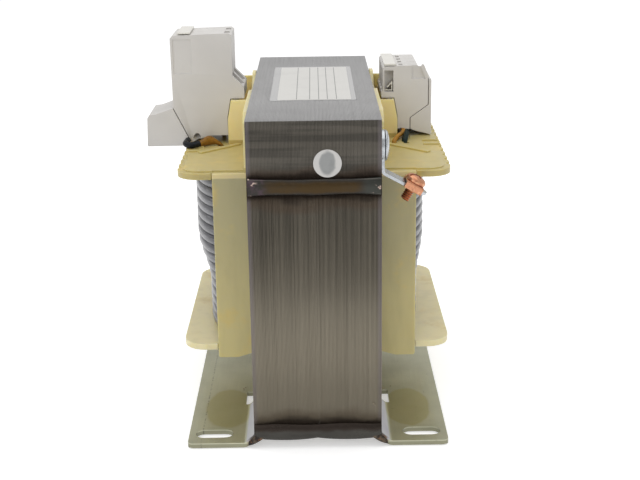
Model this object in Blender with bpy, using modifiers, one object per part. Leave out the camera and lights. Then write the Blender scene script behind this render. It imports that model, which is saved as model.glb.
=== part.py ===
"""A mains transformer: welded EI core, moulded bobbin, windings, terminal blocks and feet.

Lengths are in metres. X runs across the lamination stack, Y along the core and Z up. Every
piece is modelled around the middle of the core, with Z = 0 at the core's underside. The empty
called "stand" then lifts the whole by the height of the feet and centres it in X.
"""
import math

import bmesh
import bpy
from mathutils import Matrix, Vector

# Clearance between pieces that touch
GAP = 0.0003

# Laminations: EI pattern, welded, in two packets side by side
TONGUE_WIDTH = 0.050
LEG_WIDTH = 0.025
WINDOW_WIDTH = 0.025
WINDOW_HEIGHT = 0.075
YOKE_HEIGHT = 0.025
STACK_DEPTH = 0.050
PACKET_SPLIT_X = 0.002
CORNER_HOLE_DIAMETER = 0.0075
CORNER_HOLE_INSET = 0.0125

# Weld beads
JOINT_BEAD_HEIGHT = 0.0063
BASE_BEAD_HEIGHT = 0.0062
BASE_BEAD_CENTRE_Z = 0.0014
BEAD_DEPTH = 0.0016
BEAD_END_INSET = 0.0004

# Bobbin
TUBE_CLEARANCE = 0.0006
TUBE_WALL = 0.0015
FLANGE_THICKNESS = 0.0025
FLANGE_REACH = 0.029
FLANGE_CORNER_RADIUS = 0.009
FLANGE_END_CLEARANCE = 0.0008
BOBBIN_BOTTOM_CLEARANCE = 0.0005
BOBBIN_TOP_CLEARANCE = 0.0009
NOTCH_PITCH = 0.0075
NOTCH_END_MARGIN = 0.0002
NOTCH_WIDTH = 0.0040
NOTCH_DEPTH = 0.0013
WIRE_GUIDE_RUN = 0.018
WIRE_GUIDE_INSET = 0.0005
WIRE_GUIDE_LENGTH = 0.0070
WIRE_GUIDE_WIDTH = 0.0010
WIRE_GUIDE_HEIGHT = 0.0006
PLATEAU_HEIGHT = 0.0005
RIDGE_HEIGHT = 0.0011
RIDGE_WIDTH = 0.0022
SECONDARY_FIELD_MARGIN = 0.0006
PRIMARY_FIELD_MARGIN = 0.0136

# Guide walls that stand against the upper yoke
GUIDE_WALL_THICKNESS = 0.0016
GUIDE_WALL_HEIGHT = 0.0232
GUIDE_WALL_LUG_HEIGHT = 0.0246
GUIDE_WALL_DIP_HEIGHT = 0.0195
GUIDE_WALL_LUG_LENGTH = 0.0110
GUIDE_WALL_DIP_START = 0.0170
GUIDE_WALL_DIP_LENGTH = 0.0240
GUIDE_WALL_RAMP = 0.0040
GUIDE_WALL_CHAMFER = 0.0020

# Terminal rails on the upper flange
RAIL_OFFSET = 0.0114
RAIL_WALL = 0.0022
SECONDARY_RAIL_HEIGHT = 0.0189
PRIMARY_RAIL_HEIGHT = 0.0166
RAIL_TAPER_WIDTH = 0.0015
RAIL_TAPER_HEIGHT = 0.0080
RAIL_END_WALL = 0.0020
RAIL_STOP_HEIGHT = 0.0220
RAIL_LEAD = 0.0030

# Insulating walls between windings and outer legs
WALL_THICKNESS = 0.0012
WALL_HALF_WIDTH = 0.0398
WALL_TAB_DROP = 0.0028
WALL_FLUSH_INSET = 0.0003

# Windings
PRIMARY_BUILD = 0.0076
INSULATION_BUILD = 0.0010
WINDING_END_CLEARANCE = 0.0003
TURN_PITCH = 0.0038
TURN_GROOVE = 0.0011
SIDE_BUILD_LOWER = 0.0079
SIDE_BUILD_UPPER_LEFT = 0.0139
SIDE_BUILD_UPPER_RIGHT = 0.0094
BULGE_START = 0.28
BULGE_END = 0.58
WINDING_SQUARENESS = 4.0
CORNER_STEPS = 4

# Feet: two bent sheet steel brackets
SHEET = 0.0020
BEND_RADIUS = 0.0020
FOOT_DROP = 0.0055
FOOT_REACH = 0.0264
TONGUE_ANGLE = 42
TONGUE_OVERLAP = 0.0005
MIDDLE_OVERLAP = 0.0019
MIDDLE_HALF_LENGTH = 0.0265
RELIEF_LENGTH = 0.0128
RELIEF_REACH = 0.0052
FOOT_CORNER_RADIUS = 0.0020
SLOT_LENGTH = 0.0151
SLOT_WIDTH = 0.0071
SLOT_EDGE_INSET = 0.0101
SLOT_END_INSET = 0.0085

# Earth tab, riveted into a corner hole of the upper yoke
TAB_SHEET = 0.0012
TAB_WIDTH = 0.0078
TAB_EYE_RADIUS = 0.0060
TAB_BEND_DROP = 0.0089
TAB_BEND_RADIUS = 0.0018
TAB_ANGLE = math.radians(30.5)
TAB_ARM_LENGTH = 0.0190
RIVET_SHANK_DIAMETER = 0.0068
RIVET_HEAD_DIAMETER = 0.0118
RIVET_HEAD_HEIGHT = 0.0016
RIVET_DEPTH = 0.0150
SCREW_DISTANCE = 0.0129
SCREW_DIAMETER = 0.0035
SCREW_LENGTH = 0.0085
SCREW_HEAD_DIAMETER = 0.0080
SCREW_HEAD_HEIGHT = 0.0027
RECESS_WIDTH = 0.0009
RECESS_LENGTH = 0.0040
RECESS_DEPTH = 0.0014
SADDLE_LENGTH = 0.0072
SADDLE_PLATE = 0.0010
SADDLE_LIP = 0.0010
SADDLE_HEIGHT = 0.0034

# Terminal blocks; each profile is in millimetres from the rail's outer face and flange top
HOOK_CLEARANCE = 0.0003
SECONDARY_RAIL_LENGTH = 0.0460
SECONDARY_PITCH = 0.0105
SECONDARY_POLE_COUNT = 2
PRIMARY_RAIL_LENGTH = 0.0368
PRIMARY_PITCH = 0.0075
PRIMARY_POLE_COUNT = 4
END_PLATE = 0.0018
LUG_DEPTH = 0.0040
LUG_THICKNESS = 0.0016
SECONDARY_ENTRY_WALL = 0.0014
PRIMARY_ENTRY_WALL = 0.0009
MARKER_THICKNESS = 0.0009
CLAMP_STRIP = 0.0005
CLAMP_SIDE_CLEARANCE = 0.0005

# Leads and their sleeves
SECONDARY_WIRE = 0.0024
SECONDARY_WIRE_SWELL = 0.55
PRIMARY_WIRE = 0.0018
SECONDARY_SLEEVE = 0.0027
PRIMARY_SLEEVE = 0.0023
SECONDARY_SLEEVE_START = 0.0095
SECONDARY_SLEEVE_REACH = 0.0130
SECONDARY_LEAD_CLEARANCE = 0.0020
SECONDARY_LEAD_AHEAD = 0.0046
PRIMARY_LEAD_CLEARANCE = 0.0007
PRIMARY_LEAD_AHEAD = 0.0104
LEAD_ENTRY_HEIGHT = 0.0070

# Label film and inspection sticker
LABEL_THICKNESS = 0.0002
LABEL_WIDTH = 0.0340
LABEL_LENGTH = 0.0810
LABEL_CENTRE_Y = 0.0030
STICKER_DIAMETER = 0.0105
STICKER_CENTRE_X = 0.0050
STICKER_ABOVE_JOINT = 0.0088

# Places worked out from the sizes above
HALF_STACK = STACK_DEPTH / 2
HALF_TONGUE = TONGUE_WIDTH / 2
LEG_INNER_Y = HALF_TONGUE + WINDOW_WIDTH
CORE_HALF_LENGTH = LEG_INNER_Y + LEG_WIDTH
JOINT_Z = YOKE_HEIGHT + WINDOW_HEIGHT
CORE_TOP_Z = JOINT_Z + YOKE_HEIGHT
TUBE_INNER_X = HALF_STACK + TUBE_CLEARANCE
TUBE_INNER_Y = HALF_TONGUE + TUBE_CLEARANCE
TUBE_OUTER_X = TUBE_INNER_X + TUBE_WALL
TUBE_OUTER_Y = TUBE_INNER_Y + TUBE_WALL
FLANGE_HALF_X = HALF_STACK + FLANGE_REACH
FLANGE_HALF_Y = LEG_INNER_Y - FLANGE_END_CLEARANCE
BOBBIN_BOTTOM_Z = YOKE_HEIGHT + BOBBIN_BOTTOM_CLEARANCE
FLANGE_TOP_Z = JOINT_Z - BOBBIN_TOP_CLEARANCE
WINDING_BOTTOM_Z = BOBBIN_BOTTOM_Z + FLANGE_THICKNESS + WINDING_END_CLEARANCE
WINDING_TOP_Z = FLANGE_TOP_Z - FLANGE_THICKNESS - WINDING_END_CLEARANCE
WALL_OUTER_Y = FLANGE_HALF_Y + WALL_FLUSH_INSET
WALL_INNER_Y = WALL_OUTER_Y - WALL_THICKNESS
FLANGE_SEAT_Y = WALL_INNER_Y - GAP
GUIDE_WALL_HALF_LENGTH = FLANGE_SEAT_Y
RAIL_REAR_Y = FLANGE_SEAT_Y
GUIDE_OUTER_X = TUBE_INNER_X + GUIDE_WALL_THICKNESS
RAIL_OUTER_X = HALF_STACK + RAIL_OFFSET
TAB_INNER_X = HALF_STACK + GAP
EARTH_Y = -(CORE_HALF_LENGTH - CORNER_HOLE_INSET)
EARTH_Z = CORE_TOP_Z - CORNER_HOLE_INSET
BEAD_BACK_Y = CORE_HALF_LENGTH + GAP
RAIL_FRONT_LEFT_Y = RAIL_REAR_Y - SECONDARY_RAIL_LENGTH
RAIL_FRONT_RIGHT_Y = RAIL_REAR_Y - PRIMARY_RAIL_LENGTH
SECONDARY_FRONT_Y = RAIL_FRONT_LEFT_Y + RAIL_LEAD
PRIMARY_FRONT_Y = RAIL_FRONT_RIGHT_Y + RAIL_LEAD

LEFT, RIGHT = -1, 1


def mm(points):
    """Turn outline points from millimetres to metres."""
    return [(u / 1000, v / 1000) for u, v in points]


SECONDARY_HOOK_FOOT = (SECONDARY_RAIL_HEIGHT + HOOK_CLEARANCE) * 1000
PRIMARY_HOOK_FOOT = (PRIMARY_RAIL_HEIGHT + HOOK_CLEARANCE) * 1000
BODY_FOOT = HOOK_CLEARANCE * 1000
BODY_TAPER = BODY_FOOT - RAIL_TAPER_WIDTH * 1000
TAPER_DROP = RAIL_TAPER_HEIGHT * 1000
LUG_FACE = -(RAIL_WALL + HOOK_CLEARANCE) * 1000
LUG_BACK = LUG_FACE - LUG_THICKNESS * 1000

SECONDARY_SEAM = mm([(16.2, 0.5), (23.45, 15.4)])
SECONDARY_BODY = mm([
    (23.45, 45.0), (22.3, 46.2), (-1.2, 46.9), (-2.4, 46.2), (-2.4, 29.0), (-6.9, 24.4),
    (-7.2, 23.8), (-7.2, SECONDARY_HOOK_FOOT + 0.3), (-6.9, SECONDARY_HOOK_FOOT),
    (BODY_TAPER, SECONDARY_HOOK_FOOT), (BODY_FOOT, SECONDARY_HOOK_FOOT - TAPER_DROP),
    (BODY_FOOT, 3.4), (8.6, 3.3)])
SECONDARY_COVER = mm([
    (18.0, 0.45), (19.2, -1.0), (34.9, -1.1), (35.1, -0.8), (34.7, 11.2), (33.6, 12.7),
    (31.0, 12.9), (24.1, 15.3)])
PRIMARY_SEAM = mm([(5.75, 3.0), (5.75, 8.0), (13.6, 13.6), (13.6, 24.8)])
PRIMARY_BODY = mm([
    (10.0, 25.2), (9.2, 30.2), (8.8, 30.7), (-0.2, 30.7), (-0.2, 30.4),
    (-5.5, 30.4), (-6.1, 29.8), (-6.1, 20.4), (-6.8, 19.4), (-6.8, PRIMARY_HOOK_FOOT + 0.3),
    (-6.5, PRIMARY_HOOK_FOOT), (BODY_TAPER, PRIMARY_HOOK_FOOT),
    (BODY_FOOT, PRIMARY_HOOK_FOOT - TAPER_DROP), (BODY_FOOT, 3.2)])
PRIMARY_COVER = mm([
    (8.0, 2.1), (14.6, 0.35), (14.9, 0.6), (14.9, 24.4), (14.7, 24.8)])
PRIMARY_FIN = mm([
    (8.0, 22.0), (13.3, 22.0), (13.4, 25.0), (13.9, 25.3), (11.7, 30.8), (11.1, 31.1),
    (10.4, 30.2), (8.0, 30.2)])
PRIMARY_FIN_FIELD = mm([(6.3, 24.9), (12.4, 24.9), (10.2, 30.0), (10.2, 32.0), (6.3, 32.0)])

# Pockets as low and high corners in millimetres: outward from the rail, then upward
SECONDARY_ENTRY = mm([(-9.0, 24.3), (0.4, 29.6)])
SECONDARY_TOOL_SLOT = mm([(-1.5, 41.0), (0.7, 48.0)])
SECONDARY_LABEL_FIELD = mm([(14.6, 30.0), (22.4, 44.6)])
PRIMARY_ENTRY = mm([(-8.0, 19.4), (-1.6, 28.7)])
PRIMARY_WINDOW = mm([(-5.5, 19.4), (-1.6, 28.7)])
PRIMARY_TOOL_SLOT = mm([(0.8, 26.0), (2.5, 32.0)])
PRIMARY_TOP_GROOVE = mm([(4.6, 30.4), (8.2, 31.6)])
PRIMARY_GROOVE_WIDTH = 0.0006
FIN_DEPTH = 0.0022
FIN_FIELD_DEPTH = 0.0008
TOOL_SLOT_SHARE = 0.50
SECONDARY_MARKER = mm([(14.9, 46.75), (20.3, 47.5)])
PRIMARY_MARKER = mm([(-5.6, 30.7), (-0.5, 31.6)])
SECONDARY_CLAMP = mm([(-4.4, 24.85), (-0.15, 24.85), (-0.15, 28.7)])
PRIMARY_CLAMP = mm([(-5.2, 20.0), (-2.15, 20.0), (-2.15, 23.4), (-4.2, 21.2)])


def clear_scene():
    """Remove every object that the new file starts with."""
    for item in list(bpy.data.objects):
        bpy.data.objects.remove(item, do_unlink=True)


def make_collection(name):
    """Make a collection in the scene."""
    group = bpy.data.collections.new(name)
    bpy.context.scene.collection.children.link(group)
    return group


def make_material(name, colour, roughness, metallic=0.0):
    """Make a Principled material."""
    material = bpy.data.materials.new(name)
    material.use_nodes = True
    shader = material.node_tree.nodes["Principled BSDF"]
    shader.inputs["Base Color"].default_value = (*colour, 1.0)
    shader.inputs["Roughness"].default_value = roughness
    shader.inputs["Metallic"].default_value = metallic
    return material


# Helpers for outlines

def arc(centre, radius, start, end, steps):
    """Points along an arc, angles in degrees."""
    points = []
    for step in range(steps + 1):
        angle = math.radians(start + (end - start) * step / steps)
        points.append((centre[0] + radius * math.cos(angle), centre[1] + radius * math.sin(angle)))
    return points


def circle(centre, radius, steps=24):
    """Points round a circle."""
    return arc(centre, radius, 0, 360, steps)[:-1]


def rectangle(half_u, half_v):
    """A rectangle about the origin."""
    return [(half_u, half_v), (-half_u, half_v), (-half_u, -half_v), (half_u, -half_v)]


def rounded_rectangle(half_u, half_v, radius, steps=6):
    """A rectangle about the origin with round corners, from the middle of its +U corner on."""
    points = []
    inner_u, inner_v = half_u - radius, half_v - radius
    for turn, (sign_u, sign_v) in enumerate([(1, 1), (-1, 1), (-1, -1), (1, -1)]):
        centre = (sign_u * inner_u, sign_v * inner_v)
        points += arc(centre, radius, 90 * turn, 90 * turn + 90, steps)
    return points


def mirrored(points, side):
    """Flip an outline to the left side where side is negative."""
    return [(side * u, v) for u, v in points]


def offset_line(points, distance):
    """Shift an open line sideways, to its left for a positive distance, with mitred corners."""
    shifted = []
    for index, point in enumerate(points):
        here = Vector(point)
        normals = []
        if index > 0:
            along = (here - Vector(points[index - 1])).normalized()
            normals.append(Vector((-along.y, along.x)))
        if index < len(points) - 1:
            along = (Vector(points[index + 1]) - here).normalized()
            normals.append(Vector((-along.y, along.x)))
        mitre = sum(normals, Vector((0.0, 0.0))).normalized()
        moved = here + mitre * (distance / mitre.dot(normals[0]))
        shifted.append((moved.x, moved.y))
    return shifted


def ribbon(points, thickness):
    """The outline of a strip that follows an open line."""
    near = offset_line(points, thickness / 2)
    far = offset_line(points, -thickness / 2)
    return near + far[::-1]


def lug_outline(hook_foot):
    """Section of the lug that grips the rail's inner face, under the foot of the hook."""
    foot = hook_foot - LUG_DEPTH * 1000
    return mm([
        (LUG_FACE, hook_foot + 1.0), (LUG_FACE, foot + 0.6), (LUG_FACE - 0.4, foot),
        (LUG_BACK + 0.4, foot), (LUG_BACK, foot + 0.6), (LUG_BACK, hook_foot + 1.0)])


def block_outline(points, side):
    """Place a terminal outline beside the rail and above the flange."""
    placed = [(RAIL_OUTER_X + u, FLANGE_TOP_Z + v) for u, v in points]
    return mirrored(placed, side)


# Helpers for meshes

PLANES = {
    "XY": Matrix.Identity(4),
    "XZ": Matrix.Rotation(math.radians(90), 4, "X"),
    "YZ": Matrix(((0, 0, 1, 0), (1, 0, 0, 0), (0, 1, 0, 0), (0, 0, 0, 1))),
}


def weld_and_orient(mesh):
    """Merge doubled points and turn every face outward."""
    work = bmesh.new()
    work.from_mesh(mesh)
    bmesh.ops.remove_doubles(work, verts=work.verts, dist=1e-6)
    bmesh.ops.recalc_face_normals(work, faces=work.faces)
    work.to_mesh(mesh)
    work.free()


def curve_mesh(curve):
    """Turn curve data into a closed mesh, with its caps welded on."""
    carrier = bpy.data.objects.new(curve.name, curve)
    bpy.context.scene.collection.objects.link(carrier)
    depsgraph = bpy.context.evaluated_depsgraph_get()
    mesh = bpy.data.meshes.new_from_object(carrier.evaluated_get(depsgraph))
    bpy.data.objects.remove(carrier, do_unlink=True)
    weld_and_orient(mesh)
    return mesh


def slab(loops, plane, low, high):
    """A flat outline, with any holes, thickened from low to high across its plane."""
    curve = bpy.data.curves.new("outline", "CURVE")
    curve.dimensions = "2D"
    curve.fill_mode = "BOTH"
    curve.extrude = (high - low) / 2
    for loop in loops:
        spline = curve.splines.new("POLY")
        spline.points.add(len(loop) - 1)
        for point, (u, v) in zip(spline.points, loop):
            point.co = (u, v, 0.0, 1.0)
        spline.use_cyclic_u = True
    mesh = curve_mesh(curve)
    normal = PLANES[plane].to_3x3() @ Vector((0.0, 0.0, 1.0))
    facing = math.copysign(1.0, sum(normal))
    middle = Matrix.Translation(normal * facing * (low + high) / 2)
    mesh.transform(middle @ PLANES[plane])
    return mesh


def box(low, high):
    """A box between two corners."""
    work = bmesh.new()
    bmesh.ops.create_cube(work, size=1.0)
    low, high = Vector(low), Vector(high)
    size = high - low
    bmesh.ops.scale(work, vec=size, verts=work.verts)
    bmesh.ops.translate(work, vec=(low + high) / 2, verts=work.verts)
    mesh = bpy.data.meshes.new("box")
    work.to_mesh(mesh)
    work.free()
    return mesh


def sided_box(side, corner, opposite):
    """A box given for the right side, flipped to the left where side is negative."""
    xs = sorted((side * corner[0], side * opposite[0]))
    return box((xs[0], *corner[1:]), (xs[1], *opposite[1:]))


def wire_mesh(points, diameter, sides=2, swell=0.0):
    """A round wire with flat ends along a line of points, thicker midway where it swells."""
    curve = bpy.data.curves.new("wire", "CURVE")
    curve.dimensions = "3D"
    curve.bevel_depth = diameter / 2
    curve.bevel_resolution = sides
    curve.use_fill_caps = True
    spline = curve.splines.new("POLY")
    spline.points.add(len(points) - 1)
    for index, (point, place) in enumerate(zip(spline.points, points)):
        point.co = (*place, 1.0)
        point.radius = 1.0 + swell * math.sin(math.pi * index / (len(points) - 1)) ** 2
    return curve_mesh(curve)


def smooth_route(points, steps=5):
    """Read a smooth curve through a wire's own points."""
    placed = [Vector(point) for point in points]
    ends = [placed[0] * 2 - placed[1]] + placed + [placed[-1] * 2 - placed[-2]]
    route = []
    for index in range(1, len(ends) - 2):
        before, start, end, after = ends[index - 1:index + 3]
        for step in range(steps):
            t = step / steps
            route.append(0.5 * (
                2 * start + (end - before) * t
                + (2 * before - 5 * start + 4 * end - after) * t ** 2
                + (3 * start - before - 3 * end + after) * t ** 3))
    return route + [placed[-1]]


def loft(sections, closed):
    """Join like rings of points; an open loft gets its two ends filled."""
    work = bmesh.new()
    rings = [[work.verts.new(point) for point in section] for section in sections]
    count = len(rings[0])
    spans = len(rings) if closed else len(rings) - 1
    for index in range(spans):
        ring, following = rings[index], rings[(index + 1) % len(rings)]
        for spot in range(count):
            after = (spot + 1) % count
            work.faces.new((ring[spot], ring[after], following[after], following[spot]))
    if not closed:
        work.faces.new(rings[0][::-1])
        work.faces.new(rings[-1])
    bmesh.ops.recalc_face_normals(work, faces=work.faces)
    mesh = bpy.data.meshes.new("loft")
    work.to_mesh(mesh)
    work.free()
    return mesh


def joined(meshes):
    """Put separate closed meshes into one mesh."""
    work = bmesh.new()
    for mesh in meshes:
        work.from_mesh(mesh)
        bpy.data.meshes.remove(mesh)
    result = bpy.data.meshes.new("joined")
    work.to_mesh(result)
    work.free()
    return result


class Workshop:
    """The collections, materials and common parent that every piece uses."""

    def __init__(self):
        self.parts = make_collection("mains_transformer")
        self.cutters = make_collection("cutters")
        self.materials = {
            "lamination_steel": make_material("lamination_steel", (0.10, 0.085, 0.065), 0.45, 0.7),
            "weld_metal": make_material("weld_metal", (0.12, 0.11, 0.11), 0.35, 0.8),
            "bobbin_nylon": make_material("bobbin_nylon", (0.62, 0.52, 0.26), 0.45),
            "insulating_board": make_material("insulating_board", (0.45, 0.42, 0.22), 0.5),
            "winding_enamel": make_material("winding_enamel", (0.07, 0.07, 0.08), 0.25),
            "insulating_paper": make_material("insulating_paper", (0.55, 0.45, 0.25), 0.7),
            "zinc_sheet": make_material("zinc_sheet", (0.35, 0.35, 0.26), 0.35, 0.8),
            "bright_zinc": make_material("bright_zinc", (0.55, 0.57, 0.60), 0.3, 0.9),
            "copper_plate": make_material("copper_plate", (0.72, 0.32, 0.16), 0.3, 0.9),
            "terminal_nylon": make_material("terminal_nylon", (0.58, 0.55, 0.50), 0.5),
            "marker_card": make_material("marker_card", (0.70, 0.69, 0.64), 0.5),
            "spring_steel": make_material("spring_steel", (0.60, 0.58, 0.52), 0.25, 1.0),
            "wire_enamel": make_material("wire_enamel", (0.45, 0.22, 0.03), 0.3),
            "black_sleeve": make_material("black_sleeve", (0.02, 0.025, 0.04), 0.4),
            "label_film": make_material("label_film", (0.80, 0.80, 0.78), 0.35),
            "silver_foil": make_material("silver_foil", (0.62, 0.62, 0.60), 0.35, 0.4),
        }
        shift = (RAIL_OUTER_X + SECONDARY_COVER[3][0] - FLANGE_HALF_X) / 2
        self.stand = self.marker("stand", (shift, 0.0, FOOT_DROP), None)

    def marker(self, name, location, parent):
        """An empty that carries pieces."""
        empty = bpy.data.objects.new(name, None)
        empty.location = location
        empty.parent = parent
        self.parts.objects.link(empty)
        return empty

    def piece(self, name, mesh, material, parent=None):
        """Add a named piece with its material."""
        mesh.name = name
        mesh.materials.clear()
        mesh.materials.append(self.materials[material])
        item = bpy.data.objects.new(name, mesh)
        item.parent = parent or self.stand
        self.parts.objects.link(item)
        return item

    def tool(self, name, mesh, parent=None):
        """Add a shape that cuts or joins a piece."""
        mesh.name = name
        item = bpy.data.objects.new(name, mesh)
        item.parent = parent or self.stand
        item.hide_render = True
        item.display_type = "WIRE"
        self.cutters.objects.link(item)
        return item

    def combine(self, piece, operation, name, mesh, parent=None):
        """Cut a shape from a piece, or join one to it."""
        modifier = piece.modifiers.new(name, "BOOLEAN")
        modifier.operation = operation
        modifier.solver = "EXACT"
        modifier.object = self.tool(name, mesh, parent)

    def cut(self, piece, name, mesh, parent=None):
        """Cut a shape from a piece."""
        self.combine(piece, "DIFFERENCE", name, mesh, parent)

    def join(self, piece, name, mesh):
        """Join a shape to a piece."""
        self.combine(piece, "UNION", name, mesh)


# Core

def e_outline():
    """The E lamination seen from the side, back yoke at the bottom."""
    top = JOINT_Z - GAP / 2
    return [
        (-CORE_HALF_LENGTH, 0.0), (CORE_HALF_LENGTH, 0.0), (CORE_HALF_LENGTH, top),
        (LEG_INNER_Y, top), (LEG_INNER_Y, YOKE_HEIGHT), (HALF_TONGUE, YOKE_HEIGHT),
        (HALF_TONGUE, top), (-HALF_TONGUE, top), (-HALF_TONGUE, YOKE_HEIGHT),
        (-LEG_INNER_Y, YOKE_HEIGHT), (-LEG_INNER_Y, top), (-CORE_HALF_LENGTH, top)]


def i_outline():
    """The I lamination seen from the side."""
    low = JOINT_Z + GAP / 2
    return [
        (-CORE_HALF_LENGTH, low), (CORE_HALF_LENGTH, low),
        (CORE_HALF_LENGTH, CORE_TOP_Z), (-CORE_HALF_LENGTH, CORE_TOP_Z)]


def corner_holes(height):
    """The two fixing holes of a lamination at one height."""
    reach = CORE_HALF_LENGTH - CORNER_HOLE_INSET
    radius = CORNER_HOLE_DIAMETER / 2
    return [circle((-reach, height), radius), circle((reach, height), radius)]


def make_core(shop):
    """Stack the E and I laminations in two packets."""
    packets = {
        "left": (-HALF_STACK, PACKET_SPLIT_X - GAP / 2),
        "right": (PACKET_SPLIT_X + GAP / 2, HALF_STACK)}
    e_loops = [e_outline()] + corner_holes(CORNER_HOLE_INSET)
    i_loops = [i_outline()] + corner_holes(CORE_TOP_Z - CORNER_HOLE_INSET)
    for name, (low, high) in packets.items():
        shop.piece(f"e_core_{name}", slab(e_loops, "YZ", low, high), "lamination_steel")
        shop.piece(f"i_core_{name}", slab(i_loops, "YZ", low, high), "lamination_steel")


def bead_sections(centre_z, height, face, waviness):
    """Half-oval sections along a weld bead, on the front or rear face of the core."""
    stations, arc_steps = 24, 6
    half_run = HALF_STACK - BEAD_END_INSET
    sections = []
    for station in range(stations + 1):
        share = station / stations
        x = -half_run + 2 * half_run * share
        ripple = 0.04 * math.sin(9 * math.pi * share)
        taper = 1.0 - 0.22 * abs(2 * share - 1) ** 6
        half_height = height / 2 * (taper + ripple)
        depth = BEAD_DEPTH * (taper - ripple)
        middle = centre_z - waviness * abs(math.sin(2 * math.pi * share)) + waviness / 2
        section = []
        for step in range(arc_steps + 1):
            angle = math.pi * step / arc_steps
            y = face * (BEAD_BACK_Y + depth * math.sin(angle))
            section.append((x, y, middle + half_height * math.cos(angle)))
        sections.append(section)
    return sections


def make_welds(shop):
    """Lay the beads that close the E-I joint and tie the base laminations together."""
    beads = {
        "joint": (JOINT_Z, JOINT_BEAD_HEIGHT, 0.0),
        "base": (BASE_BEAD_CENTRE_Z, BASE_BEAD_HEIGHT, 0.0007)}
    for face_name, face in (("front", -1), ("rear", 1)):
        for bead_name, (centre_z, height, waviness) in beads.items():
            mesh = loft(bead_sections(centre_z, height, face, waviness), closed=False)
            shop.piece(f"weld_{face_name}_{bead_name}", mesh, "weld_metal")


# Bobbin

def notch_centres():
    """Places of the wire notches along a long edge of the upper flange."""
    straight = 2 * (FLANGE_HALF_Y - FLANGE_CORNER_RADIUS - NOTCH_END_MARGIN)
    count = int((straight - NOTCH_WIDTH) / NOTCH_PITCH) + 1
    return [(index - (count - 1) / 2) * NOTCH_PITCH for index in range(count)]


def flange_outline(notched):
    """Flange with round corners and a seat in each end for the insulating wall."""
    half_seat = WALL_HALF_WIDTH + GAP
    radius = FLANGE_CORNER_RADIUS
    right_edge = []
    if notched:
        for centre in notch_centres():
            half = NOTCH_WIDTH / 2
            floor = FLANGE_HALF_X - NOTCH_DEPTH
            right_edge += [
                (FLANGE_HALF_X, centre - half), (floor, centre - half * 0.6),
                (floor, centre + half * 0.6), (FLANGE_HALF_X, centre + half)]
    corner = arc((FLANGE_HALF_X - radius, FLANGE_HALF_Y - radius), radius, 0, 90, 6)
    quarter_end = [(half_seat, FLANGE_HALF_Y), (half_seat, FLANGE_SEAT_Y)]
    upper_right = corner + quarter_end
    lower_right = [(x, -y) for x, y in reversed(upper_right)]
    right = lower_right + right_edge + upper_right
    left = [(-x, y) for x, y in reversed(right)]
    return right + left


def lead_holes():
    """Round holes in the upper flange, one where each lead comes up."""
    holes = []
    for points, diameter, *_ in lead_routes().values():
        if points[0][2] < FLANGE_TOP_Z:
            holes.append(circle(points[0][:2], diameter / 2 + GAP, 12))
    return holes


def guide_wall_outline():
    """Side view of the wall that stands against the upper yoke, with its rear lug."""
    low = FLANGE_TOP_Z - FLANGE_THICKNESS / 2
    top = FLANGE_TOP_Z + GUIDE_WALL_HEIGHT
    lug = FLANGE_TOP_Z + GUIDE_WALL_LUG_HEIGHT
    dip = FLANGE_TOP_Z + GUIDE_WALL_DIP_HEIGHT
    front, rear = -GUIDE_WALL_HALF_LENGTH, GUIDE_WALL_HALF_LENGTH
    lug_front = rear - GUIDE_WALL_LUG_LENGTH
    dip_rear = rear - GUIDE_WALL_DIP_START
    dip_front = dip_rear - GUIDE_WALL_DIP_LENGTH
    ramp, chamfer = GUIDE_WALL_RAMP, GUIDE_WALL_CHAMFER
    return [
        (front, low), (rear, low), (rear, lug - chamfer), (rear - chamfer, lug),
        (lug_front + chamfer, lug), (lug_front, lug - chamfer), (dip_rear, dip),
        (dip_front, dip), (dip_front - ramp, top), (front + ramp, top), (front, top - ramp)]


def rail_profile(inner_x, height):
    """Section of a rail wall, its outer face tapered towards the top."""
    low = FLANGE_TOP_Z - FLANGE_THICKNESS / 2
    return [
        (inner_x, low), (RAIL_OUTER_X, low),
        (RAIL_OUTER_X, FLANGE_TOP_Z + height - RAIL_TAPER_HEIGHT),
        (RAIL_OUTER_X - RAIL_TAPER_WIDTH, FLANGE_TOP_Z + height),
        (inner_x, FLANGE_TOP_Z + height)]


def join_rail(shop, bobbin, side, front_y, height):
    """Join the rail that carries a terminal block: a long wall between two end walls."""
    tag = "left" if side == LEFT else "right"
    low = FLANGE_TOP_Z - FLANGE_THICKNESS / 2
    wall_inner_x = RAIL_OUTER_X - RAIL_WALL
    long_wall = rail_profile(wall_inner_x, height)
    end_inner_x = GUIDE_OUTER_X - GUIDE_WALL_THICKNESS / 2
    end_wall = rail_profile(end_inner_x, height)
    stop_top = FLANGE_TOP_Z + RAIL_STOP_HEIGHT
    stop_x = wall_inner_x - RAIL_TAPER_WIDTH
    stop = [(end_inner_x, low), (stop_x, low), (stop_x, stop_top), (end_inner_x, stop_top)]
    middle = RAIL_END_WALL / 2
    long_mesh = slab([mirrored(long_wall, side)], "XZ", front_y + middle, RAIL_REAR_Y - middle)
    shop.join(bobbin, f"rail_wall_{tag}", long_mesh)
    front_mesh = slab([mirrored(end_wall, side)], "XZ", front_y, front_y + RAIL_END_WALL)
    shop.join(bobbin, f"rail_front_{tag}", front_mesh)
    rear_low = RAIL_REAR_Y - RAIL_END_WALL
    rear_mesh = slab([mirrored(end_wall, side)], "XZ", rear_low, RAIL_REAR_Y)
    shop.join(bobbin, f"rail_rear_{tag}", rear_mesh)
    stop_mesh = slab([mirrored(stop, side)], "XZ", rear_low + GAP, RAIL_REAR_Y - GAP)
    shop.join(bobbin, f"rail_stop_{tag}", stop_mesh)


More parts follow.
